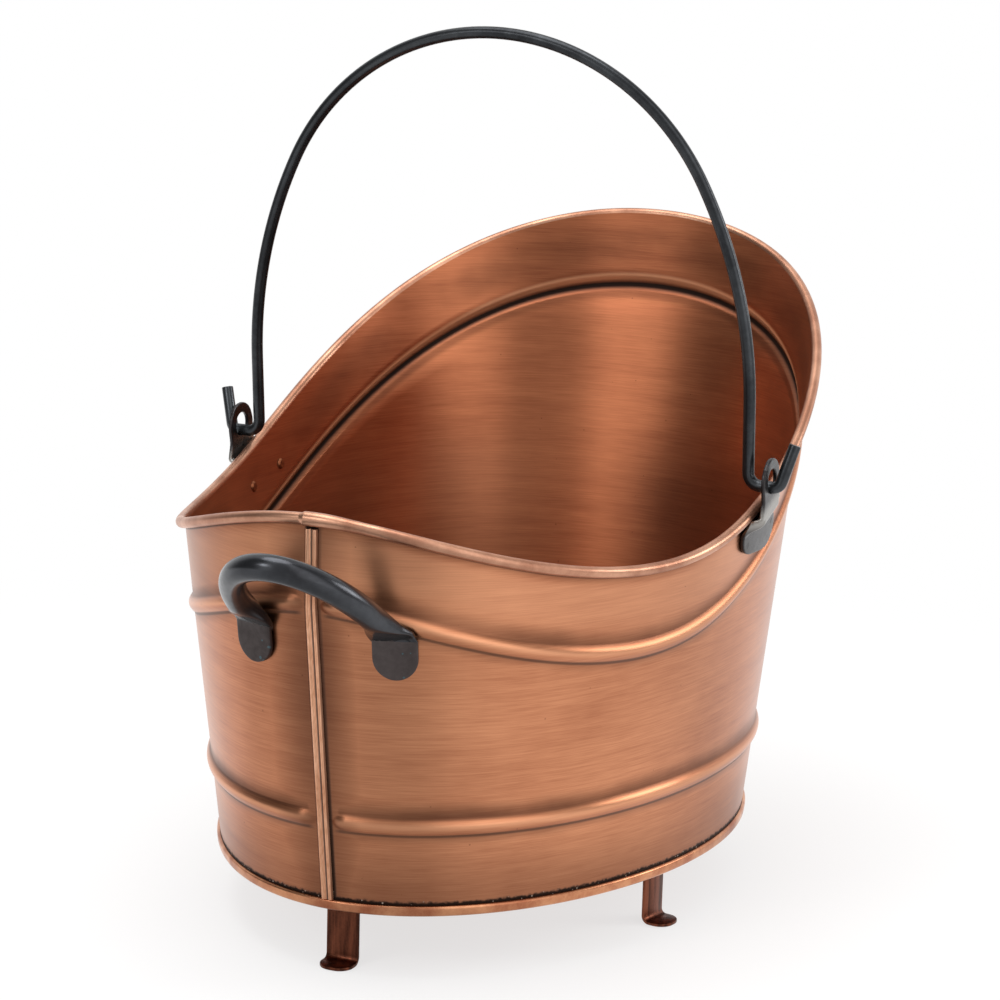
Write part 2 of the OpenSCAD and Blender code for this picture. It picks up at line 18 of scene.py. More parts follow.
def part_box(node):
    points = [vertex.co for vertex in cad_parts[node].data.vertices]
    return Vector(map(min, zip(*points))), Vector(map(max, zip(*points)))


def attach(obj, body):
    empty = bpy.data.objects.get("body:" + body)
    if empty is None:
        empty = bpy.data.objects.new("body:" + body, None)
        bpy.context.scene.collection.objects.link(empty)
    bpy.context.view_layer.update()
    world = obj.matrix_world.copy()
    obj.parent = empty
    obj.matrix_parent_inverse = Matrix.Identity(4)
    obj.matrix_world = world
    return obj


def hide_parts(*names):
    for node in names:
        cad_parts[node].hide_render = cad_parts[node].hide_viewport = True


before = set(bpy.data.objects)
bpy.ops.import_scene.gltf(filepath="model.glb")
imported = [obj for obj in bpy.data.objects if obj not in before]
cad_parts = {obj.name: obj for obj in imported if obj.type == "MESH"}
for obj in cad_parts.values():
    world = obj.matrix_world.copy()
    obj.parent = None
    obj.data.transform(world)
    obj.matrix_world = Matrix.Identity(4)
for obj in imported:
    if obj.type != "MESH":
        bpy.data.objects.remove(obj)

log = logging.getLogger("log_bucket")
MM = 0.001
WELD = 1e-6
WHITE = (1.0, 1.0, 1.0, 1.0)
Array = np.ndarray
Piece = bpy.types.Object
Colour = tuple[float, float, float, float]
Point = tuple[float, float, float]
Placer = Callable[[Array, Array], Array]
Term = Union["Value", float]


class Body(Enum):
    """Bodies that the pieces ride on."""

    BUCKET = "bucket"
    BAIL = "swinging_bail"


class Side(Enum):
    """Which way a sleeve's faces point before it is drawn onto its form."""

    OUT = False
    IN = True


def cosd(angle: Array) -> Array:
    """Cosine of an angle in degrees."""
    return np.cos(np.radians(angle))


def sind(angle: Array) -> Array:
    """Sine of an angle in degrees."""
    return np.sin(np.radians(angle))


def smooth(share: Array) -> Array:
    """Smooth step of a share, held between 0 and 1."""
    u = np.clip(share, 0.0, 1.0)
    return u * u * (3.0 - 2.0 * u)


def unit(vectors: Array) -> Array:
    """Vectors of length one along the last axis."""
    return vectors / np.linalg.norm(vectors, axis=-1, keepdims=True)


@dataclass(frozen=True)
class BucketForm:
    """The oval wall, as the model's source has it: the form that every piece is seated on.

    Plan angles t are in degrees, from the seam towards +X. Heights h are over the wall's foot.
    """

    base_len: float = 416.0
    base_w: float = 315.0
    sheet: float = 1.0
    flare_len: float = 0.156
    flare_w: float = 0.061
    collar_len: float = 0.027
    collar_w: float = 0.124
    lean: float = 0.016
    egg: float = 0.085
    rim_power: float = 2.3
    rim_rear_h: float = 240.0
    rim_side_h: float = 221.3
    lip_h: float = 370.0
    rim_shoulder: float = 5.0
    rim_fill: float = 1.8
    rim_turn: float = 0.9
    curl_d: float = 6.6
    bead_drop: float = 53.0
    low_bead_h: float = 56.0
    foot_h: float = 39.0
    shift: float = 0.0

    def rim_h(self, t: Array) -> Array:
        """Height of the rim: a short Fourier sum round the plan.

        Args:
            t: plan angles.

        Returns:
            Heights of the rim's top.
        """
        ends = (self.rim_rear_h + self.lip_h) / 4
        tilt = (self.rim_rear_h - self.lip_h) / 2 - self.rim_shoulder - self.rim_turn
        level = ends + self.rim_side_h / 2 + tilt * cosd(t) + (ends - self.rim_side_h / 2) * cosd(2 * t)
        level = level + self.rim_shoulder * cosd(3 * t)
        return level + self.rim_fill * (1 - cosd(4 * t)) + self.rim_turn * cosd(5 * t)

    def bead_h(self, t: Array) -> Array:
        """Height of the upper bead."""
        return self.rim_h(t) - self.bead_drop

    def past_bead(self, t: Array, h: Array) -> Array:
        """Height over the upper bead, where the collar starts."""
        return np.maximum(h - self.bead_h(t), 0.0)

    def half_len(self, t: Array, h: Array) -> Array:
        """Half length of the oval at a height."""
        return self.base_len / 2 + self.flare_len * h - (self.flare_len - self.collar_len) * self.past_bead(t, h)

    def half_w(self, t: Array, h: Array) -> Array:
        """Half width of the oval at a height."""
        return self.base_w / 2 + self.flare_w * h - (self.flare_w - self.collar_w) * self.past_bead(t, h)

    def wall(self, t: Array, h: Array) -> Array:
        """Points on the outer face of the wall.

        Args:
            t: plan angles.
            h: heights.

        Returns:
            Points of the source along a new last axis.
        """
        t, h = np.broadcast_arrays(np.asarray(t, float), np.asarray(h, float))
        n = 2 + (self.rim_power - 2) * h / self.rim_rear_h
        q = (np.abs(cosd(t)) ** n + np.abs(sind(t)) ** n) ** (-1 / n)
        x = self.half_w(t, h) * (1 - self.egg * cosd(t)) * sind(t) * q
        y = self.lean * h - self.half_len(t, h) * cosd(t) * q
        return np.stack([x, y, self.foot_h + h], axis=-1)

    def outward(self, t: Array, h: Array) -> Array:
        """Level outward directions of the wall."""
        d = self.wall(np.asarray(t) + 0.25, h) - self.wall(np.asarray(t) - 0.25, h)
        return unit(np.stack([d[..., 1], -d[..., 0], np.zeros_like(d[..., 0])], axis=-1))

    def off(self, t: Array, h: Array, distance: Array) -> Array:
        """Points at a distance off the outer face."""
        return self.wall(t, h) + np.asarray(distance)[..., None] * self.outward(t, h)

    def placed(self, points: Array) -> Array:
        """Points of the source, in metres and in the model's frame."""
        return (np.asarray(points, float) + np.array([0.0, self.shift, 0.0])) * MM

    def seated(self) -> "BucketForm":
        """The same form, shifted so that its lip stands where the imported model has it."""
        front = self.off(180.0, self.lip_h - self.curl_d / 2, self.curl_d - self.sheet)[1]
        return replace(self, shift=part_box("rim_curl")[1].y / MM - front)


class Bench:
    """Modelling steps that several pieces share."""

    @staticmethod
    def take(piece: Piece) -> None:
        """Makes a piece the only selected one.

        Args:
            piece: the piece.
        """
        bpy.ops.object.select_all(action="DESELECT")
        bpy.context.view_layer.objects.active = piece
        piece.select_set(True)

    @staticmethod
    def edit(piece: Piece, everything: bool = True) -> None:
        """Opens a piece for editing.

        Args:
            piece: the piece.
            everything: whether all of it is selected, or nothing.
        """
        Bench.take(piece)
        bpy.ops.object.mode_set(mode="EDIT")
        bpy.ops.mesh.select_mode(type="VERT")
        bpy.ops.mesh.select_all(action="SELECT" if everything else "DESELECT")

    @staticmethod
    def close() -> None:
        """Leaves the editing of a piece."""
        bpy.ops.object.mode_set(mode="OBJECT")

    @staticmethod
    def pick(piece: Piece, kind: str, chosen: Iterable[int]) -> None:
        """Opens a piece for editing with only some of its parts selected.

        Args:
            piece: the piece.
            kind: VERT for vertices or EDGE for edges.
            chosen: their numbers.
        """
        Bench.edit(piece, everything=False)
        bpy.ops.mesh.select_mode(type=kind)
        Bench.close()
        parts = piece.data.vertices if kind == "VERT" else piece.data.edges
        for index in chosen:
            parts[index].select = True
        bpy.ops.object.mode_set(mode="EDIT")

    @staticmethod
    def primitive(name: str, kind: str, place: Point = (0.0, 0.0, 0.0), **settings: object) -> Piece:
        """Adds a primitive and puts its place into its mesh.

        Args:
            name: the piece's name.
            kind: which primitive.
            place: where its middle is, in metres.
            **settings: its size, turn and number of parts.

        Returns:
            The piece.
        """
        bpy.ops.object.select_all(action="DESELECT")
        getattr(bpy.ops.mesh, f"primitive_{kind}_add")(location=place, **settings)
        piece = bpy.context.object
        piece.name = piece.data.name = name
        bpy.ops.object.transform_apply(location=True, rotation=True, scale=True)
        return piece

    @staticmethod
    def extrude(x: float, y: float, z: float, steps: int = 1) -> None:
        """Draws what is selected out in equal steps.

        Args:
            x: distance across, in millimetres.
            y: distance along the bucket.
            z: distance up.
            steps: number of steps.
        """
        for _ in range(steps):
            move = {"value": (x / steps * MM, y / steps * MM, z / steps * MM)}
            bpy.ops.mesh.extrude_region_move(TRANSFORM_OT_translate=move)

    @staticmethod
    def spin(x: float, z: float, angle: float, steps: int, lean: float = 0.0) -> None:
        """Bends what is selected round a point.

        Args:
            x: the point's place across.
            z: its height, measured in the leaning plane.
            angle: how far it bends, in degrees.
            steps: number of steps.
            lean: how far the plane leans towards +Y, in degrees.
        """
        c, s = math.cos(math.radians(lean)), math.sin(math.radians(lean))
        bpy.ops.mesh.spin(
            steps=steps, dupli=False, angle=-math.radians(angle), center=(x * MM, z * s * MM, z * c * MM),
            axis=(0.0, c, -s))

    @staticmethod
    def sleeve(name: str, rows: int, columns: int, place: Placer, facing: Side = Side.OUT) -> Piece:
        """A ring that is extruded row by row and then drawn onto a form.

        Args:
            name: the piece's name.
            rows: number of rings.
            columns: number of vertices in a ring.
            place: gives the points in metres for arrays of row and column numbers.
            facing: which way the faces point at first. They turn round on a form that climbs and runs anticlockwise.

        Returns:
            The open sleeve. Its row and column numbers stay in the attribute "grid".
        """
        piece = Bench.primitive(name, "circle", vertices=columns, radius=1.0)
        Bench.edit(piece)
        for _ in range(rows - 1):
            bpy.ops.mesh.extrude_region_move(TRANSFORM_OT_translate={"value": (0.0, 0.0, 1.0)})
        bpy.ops.mesh.select_all(action="SELECT")
        bpy.ops.mesh.normals_make_consistent(inside=facing.value)
        Bench.close()
        co = Bench.points(piece)
        row = np.rint(co[:, 2]).astype(int)
        column = np.rint(np.arctan2(co[:, 0], co[:, 1]) / (2 * math.pi) * columns).astype(int) % columns
        grid = piece.data.attributes.new("grid", "FLOAT_VECTOR", "POINT")
        grid.data.foreach_set("vector", np.stack([row, column, 0 * row], axis=-1).astype(np.float32).ravel())
        Bench.move(piece, place(row, column))
        return piece

    @staticmethod
    def points(piece: Piece) -> Array:
        """All vertices of a piece.

        Args:
            piece: the piece.

        Returns:
            One point in metres for each vertex.
        """
        co = np.empty(len(piece.data.vertices) * 3)
        piece.data.vertices.foreach_get("co", co)
        return co.reshape(-1, 3)

    @staticmethod
    def move(piece: Piece, points: Array) -> None:
        """Moves all vertices of a piece to points."""
        piece.data.vertices.foreach_set("co", np.ascontiguousarray(points, float).ravel())
        piece.data.update()

    @staticmethod
    def seal(piece: Piece, fill: bool = True) -> None:
        """Merges doubled vertices and turns the faces outward.

        Args:
            piece: the piece.
            fill: whether open ends are closed as well.
        """
        Bench.edit(piece)
        bpy.ops.mesh.remove_doubles(threshold=WELD)
        if fill:
            bpy.ops.mesh.select_all(action="SELECT")
            bpy.ops.mesh.fill_holes(sides=0)
            bpy.ops.mesh.select_all(action="SELECT")
        bpy.ops.mesh.normals_make_consistent(inside=False)
        Bench.close()

    @staticmethod
    def modify(piece: Piece, kind: str, **settings: object) -> None:
        """Adds a modifier and applies it.

        Args:
            piece: the piece.
            kind: the modifier's type.
            **settings: its properties.
        """
        Bench.take(piece)
        modifier = piece.modifiers.new(kind.lower(), kind)
        for key, value in settings.items():
            setattr(modifier, key, value)
        bpy.ops.object.modifier_apply(modifier=modifier.name)

    @staticmethod
    def paint(piece: Piece, *finishes: "Finish") -> None:
        """Gives a piece the materials of its finishes."""
        for finish in finishes:
            piece.data.materials.append(finish.material())

    @staticmethod
    def finish(piece: Piece, angle: float, slot: str, node: str, body: Body = Body.BUCKET) -> None:
        """Shades a finished piece smooth and says what it is.

        Args:
            piece: the piece.
            angle: edges sharper than this angle in degrees stay sharp.
            slot: the record's material slot; not used.
            node: the node that the piece stands for.
            body: the body that it rides on.
        """
        Bench.take(piece)
        bpy.ops.object.shade_smooth_by_angle(angle=math.radians(angle))
        if "grid" in piece.data.attributes:
            piece.data.attributes.remove(piece.data.attributes["grid"])
        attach(piece, body.value)
        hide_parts(node)
        log.info("%s: %d faces for %s", piece.name, len(piece.data.polygons), node)


def linear(tone: str) -> Colour:
    """Scene colour of a screen colour.

    Args:
        tone: the screen colour as six hex digits.

    Returns:
        The colour, with a last value of 1.
    """
    parts = [int(tone[i : i + 2], 16) / 255 for i in (0, 2, 4)]
    r, g, b = (c / 12.92 if c <= 0.04045 else ((c + 0.055) / 1.055) ** 2.4 for c in parts)
    return (r, g, b, 1.0)


class Value:
    """A number, vector or colour of a node tree. Arithmetic on it adds the nodes that it takes."""

    def __init__(self, mix: "Mixer", socket: bpy.types.NodeSocket) -> None:
        """Stands for an output of a node."""
        self.mix = mix
        self.socket = socket

    def __add__(self, other: Term) -> "Value":
        """Sum."""
        return self.mix.math("ADD", self, other)

    def __sub__(self, other: Term) -> "Value":
        """Difference."""
        return self.mix.math("SUBTRACT", self, other)

    def __rsub__(self, other: float) -> "Value":
        """Difference from a number."""
        return self.mix.math("SUBTRACT", other, self)

    def __mul__(self, other: Term) -> "Value":
        """Product."""
        return self.mix.math("MULTIPLY", self, other)

    def __abs__(self) -> "Value":
        """Size without its sign."""
        return self.mix.math("ABSOLUTE", self)


class Mixer:
    """Short hand for building a node tree."""

    def __init__(self, tree: bpy.types.NodeTree) -> None:
        """Starts on an empty tree."""
        self.tree = tree
        tree.nodes.clear()

    def node(self, kind: str, inputs: dict[str | int, object] | None = None, **settings: object) -> bpy.types.Node:
        """Adds a node.

        Args:
            kind: its type, without the ShaderNode prefix.
            inputs: a number, colour or value for each input that isn't left alone.
            **settings: its properties.

        Returns:
            The node.
        """
        made = self.tree.nodes.new(kind if kind.startswith("NodeGroup") else "ShaderNode" + kind)
        for key, value in settings.items():
            setattr(made, key, value)
        for key, value in (inputs or {}).items():
            if isinstance(value, Value):
                self.tree.links.new(value.socket, made.inputs[key])
            else:
                made.inputs[key].default_value = value
        return made

    def value(self, kind: str, inputs: dict[str | int, object] | None = None, output: str | int = 0,
              **settings: object) -> Value:
        """Adds a node and gives one of its outputs.

        Args:
            kind: its type, without the ShaderNode prefix.
            inputs: a number, colour or value for each input that isn't left alone.
            output: which output.
            **settings: its properties.

        Returns:
            The output's value.
        """
        return Value(self, self.node(kind, inputs, **settings).outputs[output])

    def math(self, operation: str, *values: Term) -> Value:
        """Result of an arithmetic step."""
        return self.value("Math", dict(enumerate(values)), operation=operation)

    def ease(self, value: Value, low: float, high: float, start: float = 0.0, end: float = 1.0) -> Value:
        """A value eased from one range to another and held at its ends."""
        inputs = {"Value": value, "From Min": low, "From Max": high, "To Min": start, "To Max": end}
        return self.value("MapRange", inputs, interpolation_type="SMOOTHSTEP")

    def blend(self, share: Value, first: Value | Colour, second: Value | Colour) -> Value:
        """Mix of two colours by a share."""
        return self.value("Mix", {0: share, 6: first, 7: second}, 2, data_type="RGBA")

    def most(self, *values: Value) -> Value:
        """The largest of several values.

        Args:
            *values: the values.

        Returns:
            Their maximum.
        """
        result = values[0]
        for value in values[1:]:
            result = self.math("MAXIMUM", result, value)
        return result

    def place(self) -> Value:
        """The place on the piece, in metres."""
        return self.value("TexCoord", output="Object")

    def split(self, vector: Value) -> list[Value]:
        """The three parts of a vector."""
        return [Value(self, socket) for socket in self.node("SeparateXYZ", {0: vector}).outputs]

    def stretch(self, vector: Value, scale: Point) -> Value:
        """A vector scaled on each axis."""
        return self.value("Mapping", {"Vector": vector, "Scale": scale})

    def noise(self, vector: Value, scale: Term, detail: float = 3.0, rough: float = 0.5) -> Value:
        """Noise from 0 to 1."""
        return self.value("TexNoise", {"Vector": vector, "Scale": scale, "Detail": detail, "Roughness": rough})

    def dent(self, height: Value, distance: float, strength: float) -> Value:
        """Normal that a height gives."""
        return self.value("Bump", {"Height": height, "Distance": distance, "Strength": strength})

    def effect(self, effect: "Effect", *values: Term) -> list[Value]:
        """Outputs of a shared effect for a vector and its numbers."""
        made = self.node("Group", dict(zip(("Vector", *effect.numbers), values)), node_tree=effect.tree())
        return [Value(self, socket) for socket in made.outputs]


@dataclass(frozen=True)
class Effect:
    """An effect that more than one finish uses: a node group that is built once.

    Its inputs are a vector and the numbers named here, and its outputs are masks.
    """

    name: str
    numbers: tuple[str, ...]
    outputs: tuple[str, ...]
    fill: Callable[..., tuple[Value, ...]]

    def tree(self) -> bpy.types.NodeTree:
        """The effect's group, made at its first use.

        Returns:
            The group's tree.
        """
        if self.name in bpy.data.node_groups:
            return bpy.data.node_groups[self.name]
        tree = bpy.data.node_groups.new(self.name, "ShaderNodeTree")
        tree.interface.new_socket("Vector", in_out="INPUT", socket_type="NodeSocketVector")
        for way, names in (("INPUT", self.numbers), ("OUTPUT", self.outputs)):
            for name in names:
                tree.interface.new_socket(name, in_out=way, socket_type="NodeSocketFloat")
        mix = Mixer(tree)
        given, result = mix.node("NodeGroupInput"), mix.node("NodeGroupOutput")
        made = self.fill(mix, *(Value(mix, given.outputs[name]) for name in ("Vector", *self.numbers)))
        for name, value in zip(self.outputs, made):
            tree.links.new(value.socket, result.inputs[name])
        return tree


def brushed_lines(mix: Mixer, vector: Value) -> tuple[Value, ...]:
    """Fine lines brushed along a map's first axis, and broader soft streaks under them.

    Args:
        mix: the group's mixer.
        vector: the place on the map.

    Returns:
        Values of the lines and of the streaks.
    """
    scales = (((45.0, 2200.0, 1.0), 2.0), ((22.0, 700.0, 1.0), 3.0), ((7.0, 120.0, 1.0), 4.0))
    fine, coarse, streaks = (mix.noise(mix.stretch(vector, scale), 1.0, detail) for scale, detail in scales)
    return fine * 0.6 + coarse * 0.4, streaks


def soft_clouds(mix: Mixer, vector: Value, scale: Value) -> tuple[Value, ...]:
    """Soft cloudy variation at a chosen size."""
    return (mix.ease(mix.noise(vector, scale, 5.0, 0.6), 0.3, 0.7),)


def small_spots(mix: Mixer, vector: Value, scale: Value, size: Value) -> tuple[Value, ...]:
    """Small scattered spots, in the few cells that a cell's own colour chooses.

    Args:
        mix: the group's mixer.
        vector: the place.
        scale: number of cells in a metre.
        size: reach of the largest spots, as a share of a cell.

    Returns:
        The mask of the spots.
    """
    cells = mix.node("TexVoronoi", {"Vector": vector, "Scale": scale})
    chosen = mix.ease(mix.value("SeparateColor", {0: Value(mix, cells.outputs["Color"])}), 0.93, 1.0)
    return (mix.math("LESS_THAN", Value(mix, cells.outputs["Distance"]), size * chosen),)


GRAIN = Effect("brushed_grain", (), ("Lines", "Streaks"), brushed_lines)
BLOTCHES = Effect("blotches", ("Scale",), ("Mask",), soft_clouds)
SPECKS = Effect("specks", ("Scale", "Size"), ("Mask",), small_spots)


@dataclass(frozen=True)
class Fade:
    """A mask that eases from its start at one place to its end at another."""

    low: float
    high: float
    start: float = 0.0
    end: float = 1.0

    def __call__(self, value: Value) -> Value:
        """The mask at a value."""
        return value.mix.ease(value, self.low, self.high, self.start, self.end)


@dataclass(frozen=True)
class Line:
    """A mask of a line: full within its core, and gone past its reach."""

    middle: float
    reach: float
    core: float
    most: float = 1.0

    def __call__(self, value: Value) -> Value:
        """The mask at a value."""
        return Fade(self.reach, self.core, 0.0, self.most)(abs(value - self.middle))


@dataclass(frozen=True)
class Finish:
    """What every finish has: a name, two tones, a roughness and a way to make its material."""

    name: str
    bright: str = "CF9068"
    deep: str = "8E573D"
    rough: float = 0.36

    def material(self) -> bpy.types.Material:
        """The finish's material, made once.

        Returns:
            The material.
        """
        if self.name in bpy.data.materials:
            return bpy.data.materials[self.name]
        made = bpy.data.materials.new(self.name)
        made.use_nodes = True
        self.build(Mixer(made.node_tree))
        return made

    def build(self, mix: Mixer) -> None:
        """Builds the nodes."""
        raise NotImplementedError

    def tone(self, mix: Mixer, share: Value) -> Value:
        """A colour between the deep and the bright tone."""
        return mix.blend(share, linear(self.deep), linear(self.bright))

    @staticmethod
    def surface(mix: Mixer, colour: Value, metal: Term, rough: Value, normal: Value, **more: Term) -> None:
        """Adds the surface shader and the output.

        Args:
            mix: the material's mixer.
            colour: the base colour.
            metal: how metallic it is.
            rough: its roughness.
            normal: its normal.
            **more: other inputs, with _ for each space in their names.
        """
        inputs = {"Base Color": colour, "Metallic": metal, "Roughness": rough, "Normal": normal}
        inputs.update({key.replace("_", " "): value for key, value in more.items()})
        mix.node("OutputMaterial", {"Surface": Value(mix, mix.node("BsdfPrincipled", inputs).outputs[0])})


@dataclass(frozen=True)
class Spot:
    """Where a point of the sheet is: its place, and what the masks measure from seam, beads and foot."""

    place: Value
    seam: Value
    rear: Value
    low: Value
    up: Value
    up_wall: Value
    wander: Value


@dataclass(frozen=True)
class BrushedCopper(Finish):
    """Antique copper sheet, brushed level, with painted shade in its creases and painted highlights on its beads.

    The weights are those of clouds, streaks and lines. Spots and glints have a scale, a size and a strength.
    The sheet's UV map runs round the wall and up it, in metres. Its attribute "marks" holds the heights over the
    middle of the lower bead and over the middle of the upper bead, in metres. The seam stands at x = 0.
    """

    bright: str = "CD8D68"
    deep: str = "9F6246"
    rough: float = 0.34
    # Colour of patina, painted shade and dark spots.
    dark: str = "45281F"
    # Colour of the painted highlights.
    painted_highlight: str = "E2A47E"
    # Near black of hem soot and of painted black shade.
    black_and_shade: str = "0B0807"
    glint: str = "A3968A"
    metal: float = 1.0
    # Share of metal that the painted highlights lose.
    highlight_dulling: float = 0.0
    stretch: float = 0.55
    weights: Point = (0.4, 0.22, 0.38)
    clouds: float = 6.0
    spots: Point = (230.0, 0.13, 0.4)
    glints: Point = (1100.0, 0.6, 1.0)
    scratch: float = 0.00006
    seam_side: Fade = Fade(-0.05, -0.1)
    bead_ends: Fade = Fade(0.005, 0.011)
    # Painted shade on both sides of the seam strip.
    right_of_seam: Fade = Fade(0.024, 0.002, 0.0, 0.92)
    left_of_seam: Fade = Fade(0.032, 0.002, 0.0, 0.5)
    # Darker towards the foot.
    over_foot: Fade = Fade(0.055, 0.007, 0.0, 0.45)
    shade_depth: Fade = Fade(0.3, 0.7, 0.65, 1.0)
    glint_height: Fade = Fade(0.012, 0.011)

    def build(self, mix: Mixer) -> None:
        """Builds the nodes.

        Args:
            mix: the material's mixer.
        """
        where, place = mix.value("UVMap", uv_map="sheet"), mix.place()
        up_wall = mix.split(where)[1]
        lines, streaks = mix.effect(GRAIN, where)
        parts = (mix.effect(BLOTCHES, place, self.clouds)[0], mix.ease(streaks, 0.3, 0.7), mix.ease(lines, 0.35, 0.65))
        cloud, streak, line = (part * weight for part, weight in zip(parts, self.weights))
        # The crease masks paint shade and highlights into the colour, besides patina and hem soot.
        patina_and_shade, painted_highlight, black_and_shade = self.creases(mix, place, up_wall)
        spots, glints = (mix.effect(SPECKS, place, *kind[:2])[0] * kind[2] for kind in (self.spots, self.glints))
        black = mix.blend(glints * self.glint_height(up_wall), linear(self.black_and_shade), linear(self.glint))
        colour = mix.blend(painted_highlight, self.tone(mix, cloud + streak + line), linear(self.painted_highlight))
        for mask, over in ((patina_and_shade, linear(self.dark)), (spots, linear(self.dark)), (black_and_shade, black)):
            colour = mix.blend(mask, colour, over)
        rough = lines * 0.14 + (self.rough - 0.07) + mix.most(patina_and_shade, black_and_shade) * 0.14
        # Soot, painted black shade and painted highlights lose some of their metal.
        metal = self.metal - (black_and_shade * 0.85 + painted_highlight * self.highlight_dulling) * self.metal
        self.surface(
            mix, colour, metal, rough, mix.dent(lines, self.scratch, 0.5), Specular_IOR_Level=0.5 - black_and_shade * 0.45,
            Anisotropic=self.stretch, Anisotropic_Rotation=0.25,
            Tangent=mix.value("Tangent", direction_type="UV_MAP", uv_map="sheet"))

    def creases(self, mix: Mixer, place: Value, up_wall: Value) -> tuple[Value, Value, Value]:
        """Masks of painted shade and painted highlights at beads, seam, rim and sides, and of patina and soot.

        Args:
            mix: the material's mixer.
            place: the place on the sheet.
            up_wall: the height over the foot.

        Returns:
            Masks of patina and painted shade, of painted highlights, and of black soot and painted black shade.
        """
        marks = mix.value("Attribute", output="Vector", attribute_name="marks", attribute_type="GEOMETRY")
        low, up, _ = mix.split(marks)
        seam, along, _ = mix.split(place)
        wander = (mix.noise(place, 26.0, 3.0) - 0.5) * 0.006
        spot = Spot(place, seam, self.seam_side(along), low, up, up_wall, wander)
        past_end = mix.most(self.bead_ends(abs(seam)), 1.0 - spot.rear)
        masks = [[mask * past_end for mask in self.bead(mix, bead, wander)] for bead in (low, up)]
        patina_and_shade_masks, painted_highlights, black_and_shade_masks = ([*pair, *more] for pair, more in zip(zip(*masks), self.patches(mix, spot)))
        # Painted shade beside the seam strip.
        beside_seam = mix.math("SQRT", self.right_of_seam(seam + wander) * self.left_of_seam(wander - seam))
        patina_and_shade_masks += [spot.rear * beside_seam, self.over_foot(up_wall + wander)]
        depth = self.shade_depth(mix.noise(place, 9.0, 2.0))
        return mix.most(*patina_and_shade_masks) * depth, mix.most(*painted_highlights), mix.most(*black_and_shade_masks)

    def bead(self, mix: Mixer, bead: Value, wander: Value) -> tuple[Value, Value, Value]:
        """Masks of painted shade, painted highlight and painted black shade on a bead, by the height over its middle.
        """
        raise NotImplementedError

    def patches(self, mix: Mixer, at: Spot) -> tuple[list[Value], list[Value], list[Value]]:
        """More masks of patina and painted shade, of painted highlights, and of soot and painted black shade at a spot.
        """
        raise NotImplementedError


@dataclass(frozen=True)
class OutsideCopper(BrushedCopper):
    """The wall's outer face: ridged beads with painted shade and highlights, hem soot, painted shade by seam and rim.
    """

    # Painted shade over and under each bead, a painted highlight on its ridge, and a painted shade line at its foot.
    over_start: Fade = Fade(0.0032, 0.0056)
    over_end: Fade = Fade(0.0175, 0.0052, 0.0, 0.85)
    under_start: Fade = Fade(-0.0040, -0.0054)
    under_end: Fade = Fade(0.0130, 0.0050, 0.0, 0.45)
    ridge: Line = Line(0.0008, 0.0030, 0.0002, 0.5)
    ridge_foot: Line = Line(-0.0055, 0.0016, 0.0004, 0.6)
    # Painted shade under the rim and on the collar's left, and a painted highlight on the collar's middle.
    under_rim: Fade = Fade(0.0405, 0.0470, 0.0, 0.5)
    collar_left: Fade = Fade(-0.015, -0.085, 0.0, 0.4)
    collar_start: Fade = Fade(0.003, 0.010)
    collar_highlight: Fade = Fade(0.005, 0.026, 0.0, 0.3)
    collar_end: Fade = Fade(0.0450, 0.0380)
    hem_soot: Fade = Fade(0.0098, 0.0078, 0.0, 0.96)
    # Painted shade right under the rim's roll.
    under_roll_shade: Fade = Fade(0.0448, 0.0462, 0.0, 0.7)
    # Painted shadow of the seam strip on its right, painted shade at its left edge, and painted shade in the gap under
    # the rim.
    streak: Line = Line(0.0042, 0.0022, 0.0006, 0.9)
    streak_height: Fade = Fade(0.22, 0.02, 0.45, 1.0)
    thin_line: Line = Line(-0.0041, 0.0012, 0.0004, 0.45)
    notch_sides: Fade = Fade(0.0046, 0.0036)
    notch_foot: Fade = Fade(0.0405, 0.0425, 0.0, 0.95)

    def bead(self, mix: Mixer, bead: Value, wander: Value) -> tuple[Value, Value, Value]:
        """Painted shade over and under a ridge, a painted highlight on its crest, and a painted shade line at its foot.

        Args:
            mix: the material's mixer.
            bead: the height over the bead's middle.
            wander: an uneven shift of the masks' edges.

        Returns:
            Masks of painted shade, painted highlight and painted black shade.
        """
        over = self.over_start(bead) * self.over_end(bead + wander)
        under = self.under_start(bead) * self.under_end(wander - bead)
        return mix.most(over, under), self.ridge(bead), self.ridge_foot(bead)

    def patches(self, mix: Mixer, at: Spot) -> tuple[list[Value], list[Value], list[Value]]:
        """Painted shade under the rim and on the collar, a painted highlight on it, hem soot, painted black shade by
        roll and seam.

        Args:
            mix: the material's mixer.
            at: the spot.

        Returns:
            Masks of painted shade, of painted highlight, and of soot and painted black shade.
        """
        ragged = (mix.noise(at.place, 380.0, 4.0) - 0.5) * 0.0036
        # Painted shadow right of the seam strip, painted shade at its left edge and in the gap between its top and the
        # rim.
        streak = self.streak(at.seam) * self.streak_height(at.up_wall)
        notch = self.notch_sides(abs(at.seam)) * self.notch_foot(at.up)
        beside = at.rear * mix.most(streak, self.thin_line(at.seam), notch)
        return (
            [self.under_rim(at.up), self.collar_left(at.seam) * self.collar_start(at.up)],
            [self.collar_highlight(at.up) * self.collar_end(at.up)],
            [self.hem_soot(at.up_wall + ragged), self.under_roll_shade(at.up), beside])


